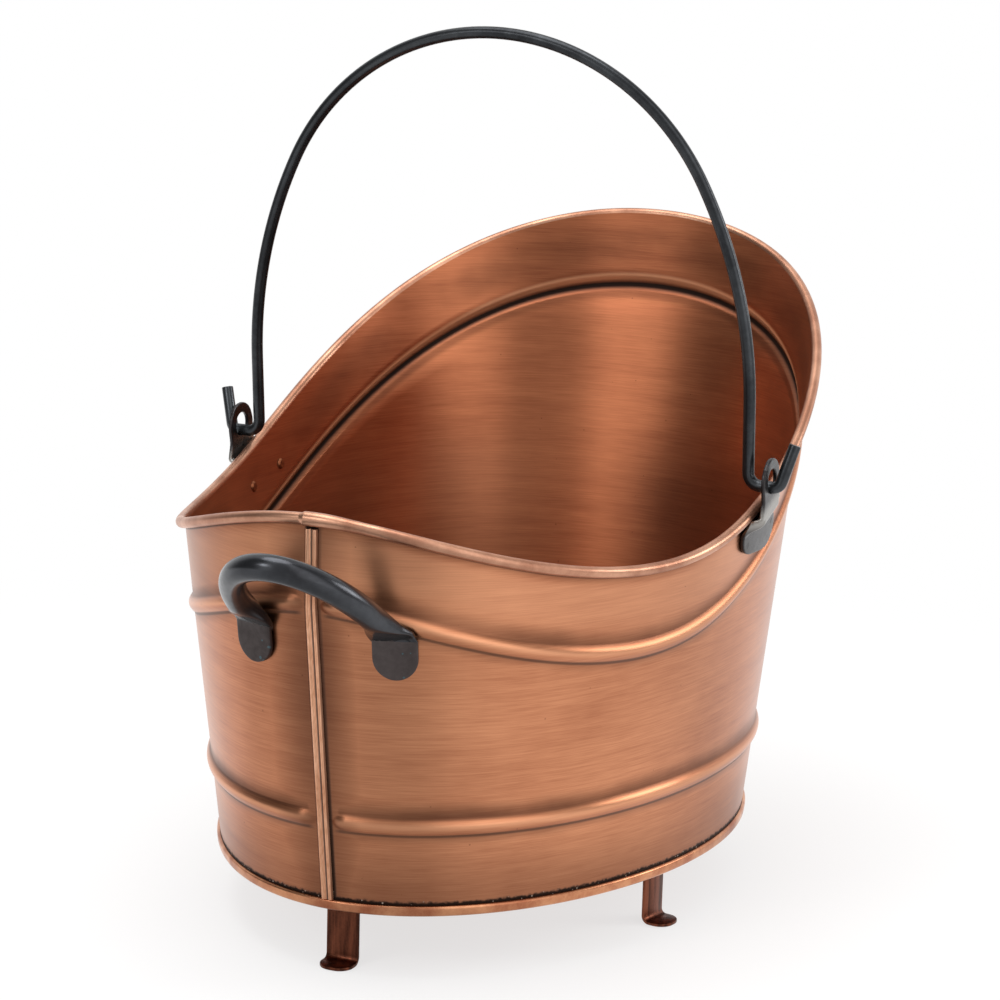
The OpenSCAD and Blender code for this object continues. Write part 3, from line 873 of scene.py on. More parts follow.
@dataclass(frozen=True)
class InsideCopper(BrushedCopper):
    """The wall's inner face, deeper in tone: grooved beads, painted black shade in each hollow, a painted highlight
    above.
    """

    bright: str = "BF7650"
    deep: str = "8F5136"
    dark: str = "2E1812"
    painted_highlight: str = "E4A278"
    metal: float = 0.86
    # Share of metal that the painted highlights and painted light lose.
    highlight_dulling: float = 0.7
    # Painted shade under each groove, a painted highlight on its upper shoulder, and painted black shade in its hollow.
    under_groove_shade: Line = Line(-0.0070, 0.0060, 0.0010, 0.45)
    shoulder: Line = Line(0.0050, 0.0040, 0.0008, 0.9)
    hollow: Line = Line(-0.0012, 0.0044, 0.0010, 0.97)
    # Painted shade low on the right and painted light low on the left.
    right_side: Fade = Fade(-0.025, 0.04, 0.0, 0.5)
    right_height: Fade = Fade(0.17, 0.12)
    left_side: Fade = Fade(-0.04, -0.11, 0.0, 0.12)
    left_height: Fade = Fade(0.17, 0.11)
    collar: Line = Line(0.027, 0.019, 0.004)
    collar_cloud: Fade = Fade(0.35, 0.65, 0.03, 0.42)

    def bead(self, mix: Mixer, bead: Value, wander: Value) -> tuple[Value, Value, Value]:
        """Painted shade under a groove, a painted highlight on its upper shoulder, and painted black shade in its
        hollow.
        """
        return self.under_groove_shade(bead), self.shoulder(bead), self.hollow(bead)

    def patches(self, mix: Mixer, at: Spot) -> tuple[list[Value], list[Value], list[Value]]:
        """Painted shade low at the right, patina on the collar, and painted light low at the left.

        Args:
            mix: the material's mixer.
            at: the spot.

        Returns:
            Masks of painted shade and patina, of painted light, and an empty list for black.
        """
        clouds = self.collar(at.up) * self.collar_cloud(mix.noise(at.place, 14.0, 3.0))
        # Painted shade low at the right, patina clouds on the collar, painted light low at the left.
        return (
            [self.right_side(at.seam) * self.right_height(at.low), clouds],
            [self.left_side(at.seam) * self.left_height(at.low)], [])


@dataclass(frozen=True)
class PlainCopper(Finish):
    """Copper on small pieces, its tone varied by soft clouds and a fine grain, by Object coordinates."""

    scale: float = 60.0
    relief: float = 0.5
    drawn: float = 1.0

    def build(self, mix: Mixer) -> None:
        """Builds the nodes.

        Args:
            mix: the material's mixer.
        """
        place = mix.place()
        cloud = mix.effect(BLOTCHES, mix.stretch(place, (1.0, 1.0, self.drawn)), self.scale)[0]
        rub = mix.noise(place, 900.0, 2.0)
        rough = cloud * -0.08 + (self.rough + 0.04)
        self.surface(mix, self.tone(mix, cloud * 0.7 + rub * 0.3), 1.0, rough, mix.dent(rub, 0.00008, self.relief))


@dataclass(frozen=True)
class FoldedCopper(Finish):
    """Copper of the seam's fold, brushed along it, with painted shade in its groove and on its outer edges."""

    bright: str = "F0BA98"
    deep: str = "C28462"
    rough: float = 0.3
    # Colour of the painted shade.
    black_and_shade: str = "1C1411"
    lines: Point = (1600.0, 1600.0, 28.0)
    clouds: float = 30.0
    # Painted shade in the groove and along the outer edges.
    groove: Line = Line(0.0006, 0.0009, 0.0003, 0.85)
    edges: Fade = Fade(0.0029, 0.0035, 0.0, 0.5)

    def build(self, mix: Mixer) -> None:
        """Builds the nodes.

        Args:
            mix: the material's mixer.
        """
        place = mix.place()
        across = mix.split(place)[0]
        lines = mix.noise(mix.stretch(place, self.lines), 1.0, 2.0)
        share = mix.ease(lines, 0.3, 0.7) * 0.5 + mix.effect(BLOTCHES, place, self.clouds)[0] * 0.5
        # Painted shade in the groove and on the edges.
        black_and_shade = mix.most(self.groove(across), self.edges(abs(across)))
        colour = mix.blend(black_and_shade, self.tone(mix, share), linear(self.black_and_shade))
        self.surface(mix, colour, 1.0 - black_and_shade * 0.7, lines * 0.1 + self.rough, mix.dent(lines, 0.00003, 0.4))


@dataclass(frozen=True)
class Gunmetal(Finish):
    """Blackened steel: bluish grey, rubbed lighter, with a few pale green specks."""

    bright: str = "55585B"
    deep: str = "343335"
    rough: float = 0.33
    speck: str = "4A6870"
    specks: float = 0.0
    clouds: tuple[float, float] = (14.0, 260.0)
    cloudy: float = 0.7
    rubbed: float = 0.2
    metal: float = 0.85
    relief: float = 0.2

    def build(self, mix: Mixer) -> None:
        """Builds the nodes.

        Args:
            mix: the material's mixer.
        """
        place = mix.place()
        cloud, rub = (mix.effect(BLOTCHES, place, scale)[0] for scale in self.clouds)
        colour = self.tone(mix, cloud * self.cloudy + rub * self.rubbed)
        if self.specks > 0.0:
            spots = mix.effect(SPECKS, place, 420.0, 0.5)[0]
            colour = mix.blend(spots * self.specks, colour, linear(self.speck))
        normal = mix.dent(mix.noise(place, 500.0, 2.0), 0.00004, self.relief)
        self.surface(mix, self.tint(mix, place, rub, colour), self.metal, rub * -0.05 + (self.rough + 0.02), normal)

    def tint(self, mix: Mixer, place: Value, rub: Value, colour: Value) -> Value:
        """The colour with what a subclass adds to it, such as a painted highlight; unchanged here."""
        return colour


@dataclass(frozen=True)
class HighlightedPlate(Gunmetal):
    """Blackened plate, with a painted pale highlight where it bends over the rim."""

    # Colour of the painted highlight along the bend.
    pale: str = "C9C5BE"
    bend: float = 0.2478
    slope: float = 0.36179
    band: Line = Line(0.0, 0.0100, 0.0005, 0.5)

    def tint(self, mix: Mixer, place: Value, rub: Value, colour: Value) -> Value:
        """The colour with the painted highlight band, which lies along the rim."""
        _, along, up = mix.split(place)
        return mix.blend(self.band(up - (along * self.slope + self.bend)), colour, linear(self.pale))


@dataclass(frozen=True)
class TwoFaced(Gunmetal):
    """Blackened rivets, whose inner heads have the copper of the wall. The wall leans outward as it climbs."""

    cloudy: float = 0.0
    rubbed: float = 1.0
    metal: float = 0.9
    relief: float = 0.5
    copper: tuple[str, str] = ("6E3D28", "A0623F")
    middle_h: float = 0.24
    flare: float = 0.12
    outer: Fade = Fade(0.1718, 0.1722)

    def tint(self, mix: Mixer, place: Value, rub: Value, colour: Value) -> Value:
        """The colour outside, and copper inside.

        Args:
            mix: the material's mixer.
            place: the place.
            rub: how strongly the place is rubbed.
            colour: the colour of the steel.

        Returns:
            The colour.
        """
        across, _, up = mix.split(place)
        deep, bright = (linear(tone) for tone in self.copper)
        outer = self.outer(abs(across) - (up - self.middle_h) * self.flare)
        return mix.blend(outer, mix.blend(rub, deep, bright), colour)


@dataclass(frozen=True)
class Finishes:
    """The finishes of the bucket."""

    sheet: Finish = OutsideCopper("brushed_copper")
    inside: Finish = InsideCopper("inside_copper")
    rim: Finish = PlainCopper("rim_copper", "D6A488", "986650", 0.38, scale=30.0, relief=0.08)
    seam: Finish = FoldedCopper("seam_copper")
    hem: Finish = PlainCopper("hem_copper", "D69A72", "94523A", 0.32, scale=45.0, relief=0.15)
    foot: Finish = PlainCopper("foot_patina", "804A36", "1F1311", 0.36, scale=260.0, drawn=0.09)
    pan: Finish = PlainCopper("pan_copper", "8E5034", "6A3A28", scale=18.0)
    wire: Finish = PlainCopper("wire_steel", "8A6A58", "5A4238")
    grip: Finish = Gunmetal("blackened_tube", "484A4E", "28272A", 0.24)
    pad: Finish = Gunmetal("blackened_pad", "5C5453", "3B3433", 0.48, specks=0.6)
    # Plate finish with a painted highlight along its bend over the rim.
    ear: Finish = HighlightedPlate("blackened_plate", "454243", "242122", 0.3, specks=0.25)
    ear_rivet: Finish = TwoFaced("blackened_rivet", "504D4E", "2C292A", 0.4)
    rod: Finish = Gunmetal("blackened_rod", "4A4D50", "232427", 0.3)


@dataclass
class Assembly:
    """A sub-assembly: the form that it is seated on, and the finishes that it chooses from."""

    form: BucketForm
    finishes: Finishes

    def build(self) -> None:
        """Builds and dresses its pieces."""
        raise NotImplementedError


@dataclass
class CopperWall(Assembly):
    """The wall's sheet with its two beads."""

    columns: int = 320
    crowding: float = 0.7
    bead_w: float = 10.0
    bead_out: float = 3.0
    bead_start: float = 5.0
    bead_end: float = 11.0
    bead_reach: float = 6.2
    bead_rows: int = 17
    end_reach: float = 0.6
    spread: float = 1.2
    powers: tuple[float, float] = (2.2, 1.4)
    foot_rows: tuple[float, ...] = (1.05, 9.0, 12.0, 16.0)
    low_rows: tuple[float, ...] = (0.42, 0.6, 0.8)
    middle_rows: tuple[float, ...] = (0.1, 0.2, 0.32, 0.44, 0.56, 0.68, 0.8, 0.9)
    collar_rows: tuple[float, ...] = (0.22, 0.36, 0.5, 0.64, 0.78, 0.9)
    gap: float = 0.05
    map_h: float = 120.0

    def turns(self) -> Array:
        """Plan angles of the columns, closer together beside the seam."""
        u = np.arange(self.columns) / self.columns * 360.0
        return u - self.crowding * np.degrees(np.sin(np.radians(u)))

    def swell(self, h: Array, middle: Array, short: Array) -> Array:
        """How far a bead with rounded ends lifts the sheet.

        Args:
            h: heights.
            middle: heights of the bead's middle.
            short: distances by which points fall short of the bead's last full section.

        Returns:
            Distances off the wall.
        """
        end = short * self.bead_w * self.end_reach / self.bead_end
        s = np.clip(np.hypot(h - middle, end) / (self.bead_w / 2) / self.spread, 0.0, 1.0)
        return self.bead_out * (1 - s ** self.powers[0]) ** self.powers[1]

    def levels(self) -> Array:
        """Shares and offsets of the sheet's rows.

        Returns:
            For each row, its shares of the heights of lower bead, upper bead and rim, and an offset.
        """
        bead = np.linspace(-self.bead_reach, self.bead_reach, self.bead_rows)
        rows = [(0.0, 0.0, 0.0, d) for d in self.foot_rows]
        rows += [(u, 0.0, 0.0, 0.0) for u in self.low_rows]
        rows += [(1.0, 0.0, 0.0, d) for d in bead]
        rows += [(1.0 - u, u, 0.0, 0.0) for u in self.middle_rows]
        rows += [(0.0, 1.0, 0.0, d) for d in bead]
        rows += [(0.0, 1.0 - u, u, 0.0) for u in self.collar_rows]
        return np.array(rows + [(0.0, 0.0, 1.0, -self.form.curl_d / 2 - self.gap)])

    def heights(self, t: Array) -> Array:
        """Heights of all rows.

        Args:
            t: plan angles.

        Returns:
            Heights, with a row of them for each row of the sheet.
        """
        levels = self.levels()
        marks = np.stack([np.full_like(t, self.form.low_bead_h), self.form.bead_h(t), self.form.rim_h(t)])
        return levels[:, :3] @ marks + levels[:, 3:]

    def place(self, row: Array, column: Array) -> Array:
        """Points of the sheet's outer face.

        Args:
            row: row numbers.
            column: column numbers.

        Returns:
            Points in metres.
        """
        h = self.heights(self.turns())[row, column]
        t = self.turns()[column]
        short = np.maximum(self.bead_start + self.bead_end - np.abs(self.form.wall(t, h)[:, 0]), 0.0)
        short = np.where(cosd(t) < 0, 0.0, short)
        lift = np.maximum(self.swell(h, self.form.low_bead_h, short), self.swell(h, self.form.bead_h(t), short))
        return self.form.placed(self.form.off(t, h, lift))

    def mark(self, piece: Piece) -> None:
        """Gives the sheet its map and its heights over the beads.

        Args:
            piece: the open sheet.
        """
        grid = np.empty(len(piece.data.vertices) * 3, np.float32)
        piece.data.attributes["grid"].data.foreach_get("vector", grid)
        row, column = np.rint(grid.reshape(-1, 3)[:, :2]).astype(int).T
        t = self.turns()
        h = self.heights(t)[row, column]
        loop = self.form.wall(np.append(t, 360.0), self.map_h)
        run = np.concatenate([[0.0], np.cumsum(np.linalg.norm(np.diff(loop, axis=0), axis=1))]) * MM
        over = np.stack([h - self.form.low_bead_h, h - self.form.bead_h(t[column]), 0 * h], axis=-1)
        marks = piece.data.attributes.new("marks", "FLOAT_VECTOR", "POINT")
        marks.data.foreach_set("vector", (over * MM).astype(np.float32).ravel())
        corner = np.empty(len(piece.data.loops), np.int32)
        piece.data.loops.foreach_get("vertex_index", corner)
        corner = corner.reshape(-1, 4)
        at_end = (column[corner].max(axis=1) == self.columns - 1)[:, None] & (column[corner] == 0)
        uv = np.stack([np.where(at_end, run[-1], run[column[corner]]), h[corner] * MM], axis=-1)
        piece.data.uv_layers.new(name="sheet").data.foreach_set("uv", uv.astype(np.float32).ravel())

    def build(self) -> None:
        """Builds and dresses the wall."""
        piece = Bench.sleeve("copper_wall", len(self.levels()), self.columns, self.place, Side.IN)
        self.mark(piece)
        Bench.paint(piece, self.finishes.sheet, self.finishes.inside)
        Bench.modify(piece, "SOLIDIFY", thickness=self.form.sheet * MM, offset=-1.0, material_offset=1)
        Bench.finish(piece, 60.0, "copper_sheet", "body_wall")


@dataclass
class RolledRim(Assembly):
    """The sheet's edge, rolled outward over its wire, with the lap of its two ends at the seam."""

    columns: int = 360
    crowding: float = 0.55
    steps: int = 22
    lip_gap: float = 0.3
    lap: float = 0.8
    lap_from: float = -1.4
    lap_full: float = 2.0
    lap_fade: float = 10.0
    lap_reach: float = 20.0

    def middle(self, t: Array) -> Array:
        """Points in the middle of the roll."""
        r = self.form.curl_d / 2
        return self.form.off(t, self.form.rim_h(t) - r, np.full_like(t, r - self.form.sheet))

    def place(self, row: Array, column: Array) -> Array:
        """Points of the roll's outer face.

        Args:
            row: row numbers, from the inner side over the top.
            column: column numbers.

        Returns:
            Points in metres.
        """
        u = column / self.columns * 360.0
        t = u - self.crowding * np.degrees(np.sin(np.radians(u)))
        r = self.form.curl_d / 2
        end = -np.degrees(np.arccos((self.form.sheet + self.lip_gap) / r - 1))
        a = 180.0 + (end - 180.0) * row / (self.steps - 1)
        out = self.form.outward(t, self.form.rim_h(t) - r)
        up = unit(np.cross(out, self.middle(t + 0.25) - self.middle(t - 0.25)))
        past = np.where(t > 180.0, t - 360.0, t)
        lapped = (past > self.lap_from) & (past < self.lap_reach)
        size = r + self.lap * np.where(lapped, 1.0 - smooth((past - self.lap_full) / self.lap_fade), 0.0)
        ring = size[:, None] * (cosd(a)[:, None] * out + sind(a)[:, None] * up)
        return self.form.placed(self.middle(t) + ring)

    def build(self) -> None:
        """Builds and dresses the rim."""
        piece = Bench.sleeve("rolled_rim", self.steps, self.columns, self.place)
        Bench.paint(piece, self.finishes.rim)
        Bench.modify(piece, "SOLIDIFY", thickness=self.form.sheet * MM, offset=-1.0)
        Bench.finish(piece, 50.0, "copper_sheet", "rim_curl")


@dataclass
class SeamStrip(Assembly):
    """The folded strip over the wall's seam: a broad ridge, a groove and a narrow ridge."""

    width: float = 7.0
    out: float = 2.6
    seat: float = 0.15
    hem_h: float = 6.6
    notch: float = 2.4
    columns: int = 48
    rows: int = 60
    kink_row: float = 0.75
    corners: tuple[tuple[float, float], ...] = (
        (-0.5, 0.0), (0.0, 0.0), (0.5, 0.0), (0.5, 0.45), (0.43, 0.88), (0.32, 1.0), (0.22, 0.9), (0.14, 0.62),
        (-0.02, 0.62), (-0.1, 0.85), (-0.22, 1.0), (-0.38, 0.95), (-0.48, 0.55))

    def section(self) -> Array:
        """Outline across the strip: a smooth curve through its corners.

        Returns:
            The closed outline, as distances across and out of the wall.
        """
        corners, line = np.array(self.corners), []
        for s in np.arange(self.columns) / self.columns * len(corners):
            i, f = int(s), s % 1.0
            p0, p1, p2, p3 = (corners[(i + d) % len(corners)] for d in (-1, 0, 1, 2))
            bend = (2 * p0 - 5 * p1 + 4 * p2 - p3) * f**2 + (3 * p1 - p0 - 3 * p2 + p3) * f**3
            across, out = 0.5 * (2 * p1 + (p2 - p0) * f + bend)
            line.append([across * self.width, max(out, 0.0) * self.out])
        return np.array(line)

    def place(self, row: Array, column: Array) -> Array:
        """Points of the strip, which kinks where the collar starts.

        Args:
            row: row numbers.
            column: column numbers.

        Returns:
            Points in metres.
        """
        top = self.form.rim_h(0.0) - self.form.curl_d - self.seat - self.notch
        ends = (self.hem_h + self.seat, self.form.bead_h(0.0), top)
        h = np.interp(row / (self.rows - 1), (0.0, self.kink_row, 1.0), ends)
        across, out = self.section()[column].T
        base = self.form.off(np.zeros_like(h), h, np.full_like(h, self.seat))
        return self.form.placed(base + np.stack([across, -out, np.zeros_like(out)], axis=-1))

    def build(self) -> None:
        """Builds and dresses the strip."""
        piece = Bench.sleeve("seam_fold", self.rows, self.columns, self.place)
        Bench.seal(piece)
        Bench.paint(piece, self.finishes.seam)
        Bench.finish(piece, 50.0, "copper_sheet", "seam_strip")


@dataclass
class FootHem(Assembly):
    """The hem that folds the wall's foot and the pan's skirt together."""

    columns: int = 320
    out: float = 2.2
    height: float = 6.6
    rounding: float = 1.9
    sheet: float = 1.0
    inset: float = 2.1
    inner_h: float = 4.9

    def section(self) -> Array:
        """Outline across the hem.

        Returns:
            The closed outline, as distances off the wall and heights.
        """
        middle, r = self.out - self.rounding, self.rounding
        rounds = ((r, (-90, -65, -40, -20, 0)), (self.height - r, (0, 20, 40, 60, 80, 95)))
        arc = [(middle + r * cosd(a), h + r * sind(a)) for h, angles in rounds for a in angles]
        inner = [(0.05, self.height - 0.25), (0.05, self.sheet), (-self.inset, self.sheet), (-self.inset, self.inner_h)]
        inner += [(-self.inset - self.sheet, h) for h in (self.inner_h, 0.6)]
        return np.array(arc + inner + [(-self.inset - 0.6, 0.0)])

    def place(self, row: Array, column: Array) -> Array:
        """Points of the hem."""
        out, h = self.section()[row % len(self.section())].T
        return self.form.placed(self.form.off(column / self.columns * 360.0, h, out))

    def build(self) -> None:
        """Builds and dresses the hem."""
        piece = Bench.sleeve("foot_hem", len(self.section()) + 1, self.columns, self.place)
        Bench.seal(piece, fill=False)
        Bench.paint(piece, self.finishes.hem)
        Bench.finish(piece, 40.0, "copper_sheet", "base_hem")


@dataclass
class StrapFeet(Assembly):
    """Four bent strap feet with rounded toes."""

    stands: tuple[tuple[str, float], ...] = (("rear", 0.0), ("front", 180.0), ("right", 80.0), ("left", -80.0))
    width: float = 21.0
    thick: float = 2.0
    inset: float = 18.0
    toe: float = 15.0
    flange: float = 30.0
    bend: float = 3.0
    pan_h: float = 6.0
    fit: float = 0.05
    toe_round: float = 9.0
    edge_round: float = 0.45
    bend_steps: int = 6

    def strap(self) -> Piece:
        """Bends one strap, from its flange down to its toe, and rounds its corners.

        Returns:
            The strap, with its toe towards +X.
        """
        top = self.form.foot_h + self.pan_h - self.fit
        corner = self.bend + self.thick
        place = (-self.flange * MM, 0.0, (top - self.thick / 2) * MM)
        piece = Bench.primitive("strap", "plane", place, size=MM, rotation=(0.0, math.pi / 2, 0.0))
        Bench.edit(piece)
        bpy.ops.transform.resize(value=(1.0, self.width, self.thick))
        Bench.extrude(self.flange - corner, 0.0, 0.0)
        Bench.spin(-corner, top - corner, 90.0, self.bend_steps)
        Bench.extrude(0.0, 0.0, -(top - 2 * corner))
        Bench.spin(self.bend, corner, -90.0, self.bend_steps)
        Bench.extrude(self.toe - self.bend, 0.0, 0.0)
        Bench.close()
        Bench.pick(piece, "EDGE", self.toe_edges(piece))
        bpy.ops.mesh.bevel(offset=self.toe_round * MM, segments=8, affect="EDGES")
        Bench.close()
        Bench.seal(piece)
        limit = math.radians(40.0)
        Bench.modify(piece, "BEVEL", width=self.edge_round * MM, segments=2, limit_method="ANGLE", angle_limit=limit)
        return piece

    def toe_edges(self, piece: Piece) -> list[int]:
        """The two short edges at the toe's end.

        Args:
            piece: the strap.

        Returns:
            Their numbers.
        """
        edges = []
        for edge in piece.data.edges:
            a, b = (piece.data.vertices[i].co for i in edge.vertices)
            if min(a.x, b.x) > (self.toe - 0.1) * MM and abs(a.z - b.z) > MM:
                edges.append(edge.index)
        return edges

    def build(self) -> None:
        """Sets a copy of the strap at each place and dresses it."""
        strap = self.strap()
        for end, turn in self.stands:
            piece = strap.copy()
            piece.data = strap.data.copy()
            piece.name = piece.data.name = "strap_foot_" + end
            bpy.context.collection.objects.link(piece)
            out = self.form.outward(turn, 0.0)
            spot = self.form.placed(self.form.off(turn, 0.0, -self.inset) - [0.0, 0.0, self.form.foot_h])
            turned = Matrix.Rotation(math.atan2(out[1], out[0]), 4, "Z")
            piece.data.transform(Matrix.Translation(Vector(spot)) @ turned)
            Bench.paint(piece, self.finishes.foot)
            Bench.finish(piece, 40.0, "foot_strap", "foot_" + end)
        bpy.data.objects.remove(strap)


@dataclass(frozen=True)
class Section:
    """A cross-section of the handle: its middle, two directions, two half sizes and how square it is."""

    middle: Array
    across: Array
    face: Array
    half_w: float
    half_t: float
    square: float

    def outline(self, angle: Array) -> Array:
        """Points round the section."""
        x, y = (np.sign(v) * np.abs(v) ** (2 / self.square) for v in (cosd(angle), sind(angle)))
        return self.middle + (self.half_w * x)[:, None] * self.across + (self.half_t * y)[:, None] * self.face


@dataclass
class TubeGrip(Assembly):
    """The tube handle over the seam, its ends flattened into pads."""

    tube_d: float = 15.2
    width: float = 87.0
    shift: float = 4.0
    bow_w: float = 84.0
    reach: float = 85.5
    root: float = 14.0
    tilt: float = 35.5
    blend: float = 32.0
    pad_w: float = 26.0
    pad_len: float = 24.5
    pad_t: float = 3.4
    pad_square: float = 7.0
    bead_w: float = 10.0
    fold_gap: float = 0.5
    seat: float = 0.15
    columns: int = 48

    def fold_h(self) -> float:
        """Height of the folds between pads and bow, just under the upper bead.

        Returns:
            The height over the wall's foot.
        """
        form, bead = self.form, float(self.form.bead_h(0.0))
        edge = (self.width / 2 + self.shift + self.pad_w / 2) / (float(form.half_w(0.0, bead)) * (1 - form.egg))
        return float(form.bead_h(math.degrees(math.asin(edge)))) - self.bead_w / 2 - self.fold_gap

    def turn_at(self, x: float) -> float:
        """Plan angle of the point at x on the seam half of the wall, at the folds."""
        t = np.linspace(-60.0, 60.0, 24001)
        return float(t[np.argmin(np.abs(self.form.wall(t, self.fold_h())[:, 0] - x))])

    def pad(self, side: int) -> list[Section]:
        """Sections of a flattened pad, from its round end up to the fold.

        Args:
            side: 1 for the right pad or -1 for the left one.

        Returns:
            The sections, the last of them at the fold.
        """
        turn = self.turn_at(side * self.width / 2 + self.shift)
        out = self.form.outward(turn, self.fold_h())
        across = side * np.array([-out[1], out[0], 0.0])
        r, low = self.pad_w / 2, self.fold_h() - self.pad_len
        angles = (3.0, 8.0, 14.0, 21.0, 29.0, 38.0, 48.0, 58.0, 69.0, 80.0, 90.0)
        steps = [(low + r * (1 - cosd(a)), r * sind(a), self.pad_t / 2 * min(1.0, 0.72 + a / 50)) for a in angles]
        steps += [(self.fold_h() - d, r, self.pad_t / 2) for d in (6.0, 1.0, 0.0)]
        stand = (self.seat + self.pad_t / 2) * out
        return [Section(self.form.wall(turn, h) + stand, across, out, w, e, self.pad_square) for h, w, e in steps]

    def sections(self) -> list[Section]:
        """Sections from the right pad over the bow to the left pad.

        Returns:
            The sections in order.
        """
        right, left = self.pad(1), self.pad(-1)
        folds = right.pop(), left.pop()
        span = folds[0].middle - folds[1].middle
        root_x, middle, u = np.linalg.norm(span) / 2, (folds[0].middle + folds[1].middle) / 2, unit(span)
        face = np.array([u[1], -u[0], 0.0])
        away = cosd(self.tilt) * face + np.array([0.0, 0.0, sind(self.tilt)])
        down = sind(self.tilt) * face - np.array([0.0, 0.0, cosd(self.tilt)])
        bow_x = self.bow_w / 2
        rise = [(root_x + (bow_x - root_x) * (2 * s - s * s), self.root * s) for s in np.linspace(0.04, 1.0, 14)]
        arc = [(bow_x * cosd(a), self.root + (self.reach - self.root) * sind(a)) for a in np.arange(2.0, 179.0, 2.0)]
        bow = rise + arc + [(-x, y) for x, y in rise[::-1]]
        line = np.array([middle + x * u + y * away for x, y in bow])
        made = []
        for point, along, (x, y) in zip(line, unit(np.gradient(line, axis=0)), bow):
            full = float(smooth(y / self.blend))
            across = (1 - full) * folds[0 if x > 0 else 1].across + full * np.cross(along, down)
            across = unit(across - across.dot(along) * along)
            half_w, half_t = ((1 - full) * flat / 2 + full * self.tube_d / 2 for flat in (self.pad_w, self.pad_t))
            square = self.pad_square + (2.0 - self.pad_square) * math.sqrt(full)
            made.append(Section(point, across, np.cross(across, along), half_w, half_t, square))
        return right + made + left[::-1]

    def build(self) -> None:
        """Builds and dresses the handle."""
        turn = np.arange(self.columns) / self.columns * 360.0
        rings = self.form.placed([section.outline(turn) for section in self.sections()])
        piece = Bench.sleeve("tube_grip", len(rings), self.columns, lambda row, column: rings[row, column])
        Bench.seal(piece)
        Bench.paint(piece, self.finishes.grip, self.finishes.pad)
        pad_top = min(face.center.z for face in piece.data.polygons) + (self.pad_len - 1.0) * MM
        for face in piece.data.polygons:
            face.material_index = int(face.center.z < pad_top)
        Bench.finish(piece, 40.0, "dark_tube", "rear_handle")


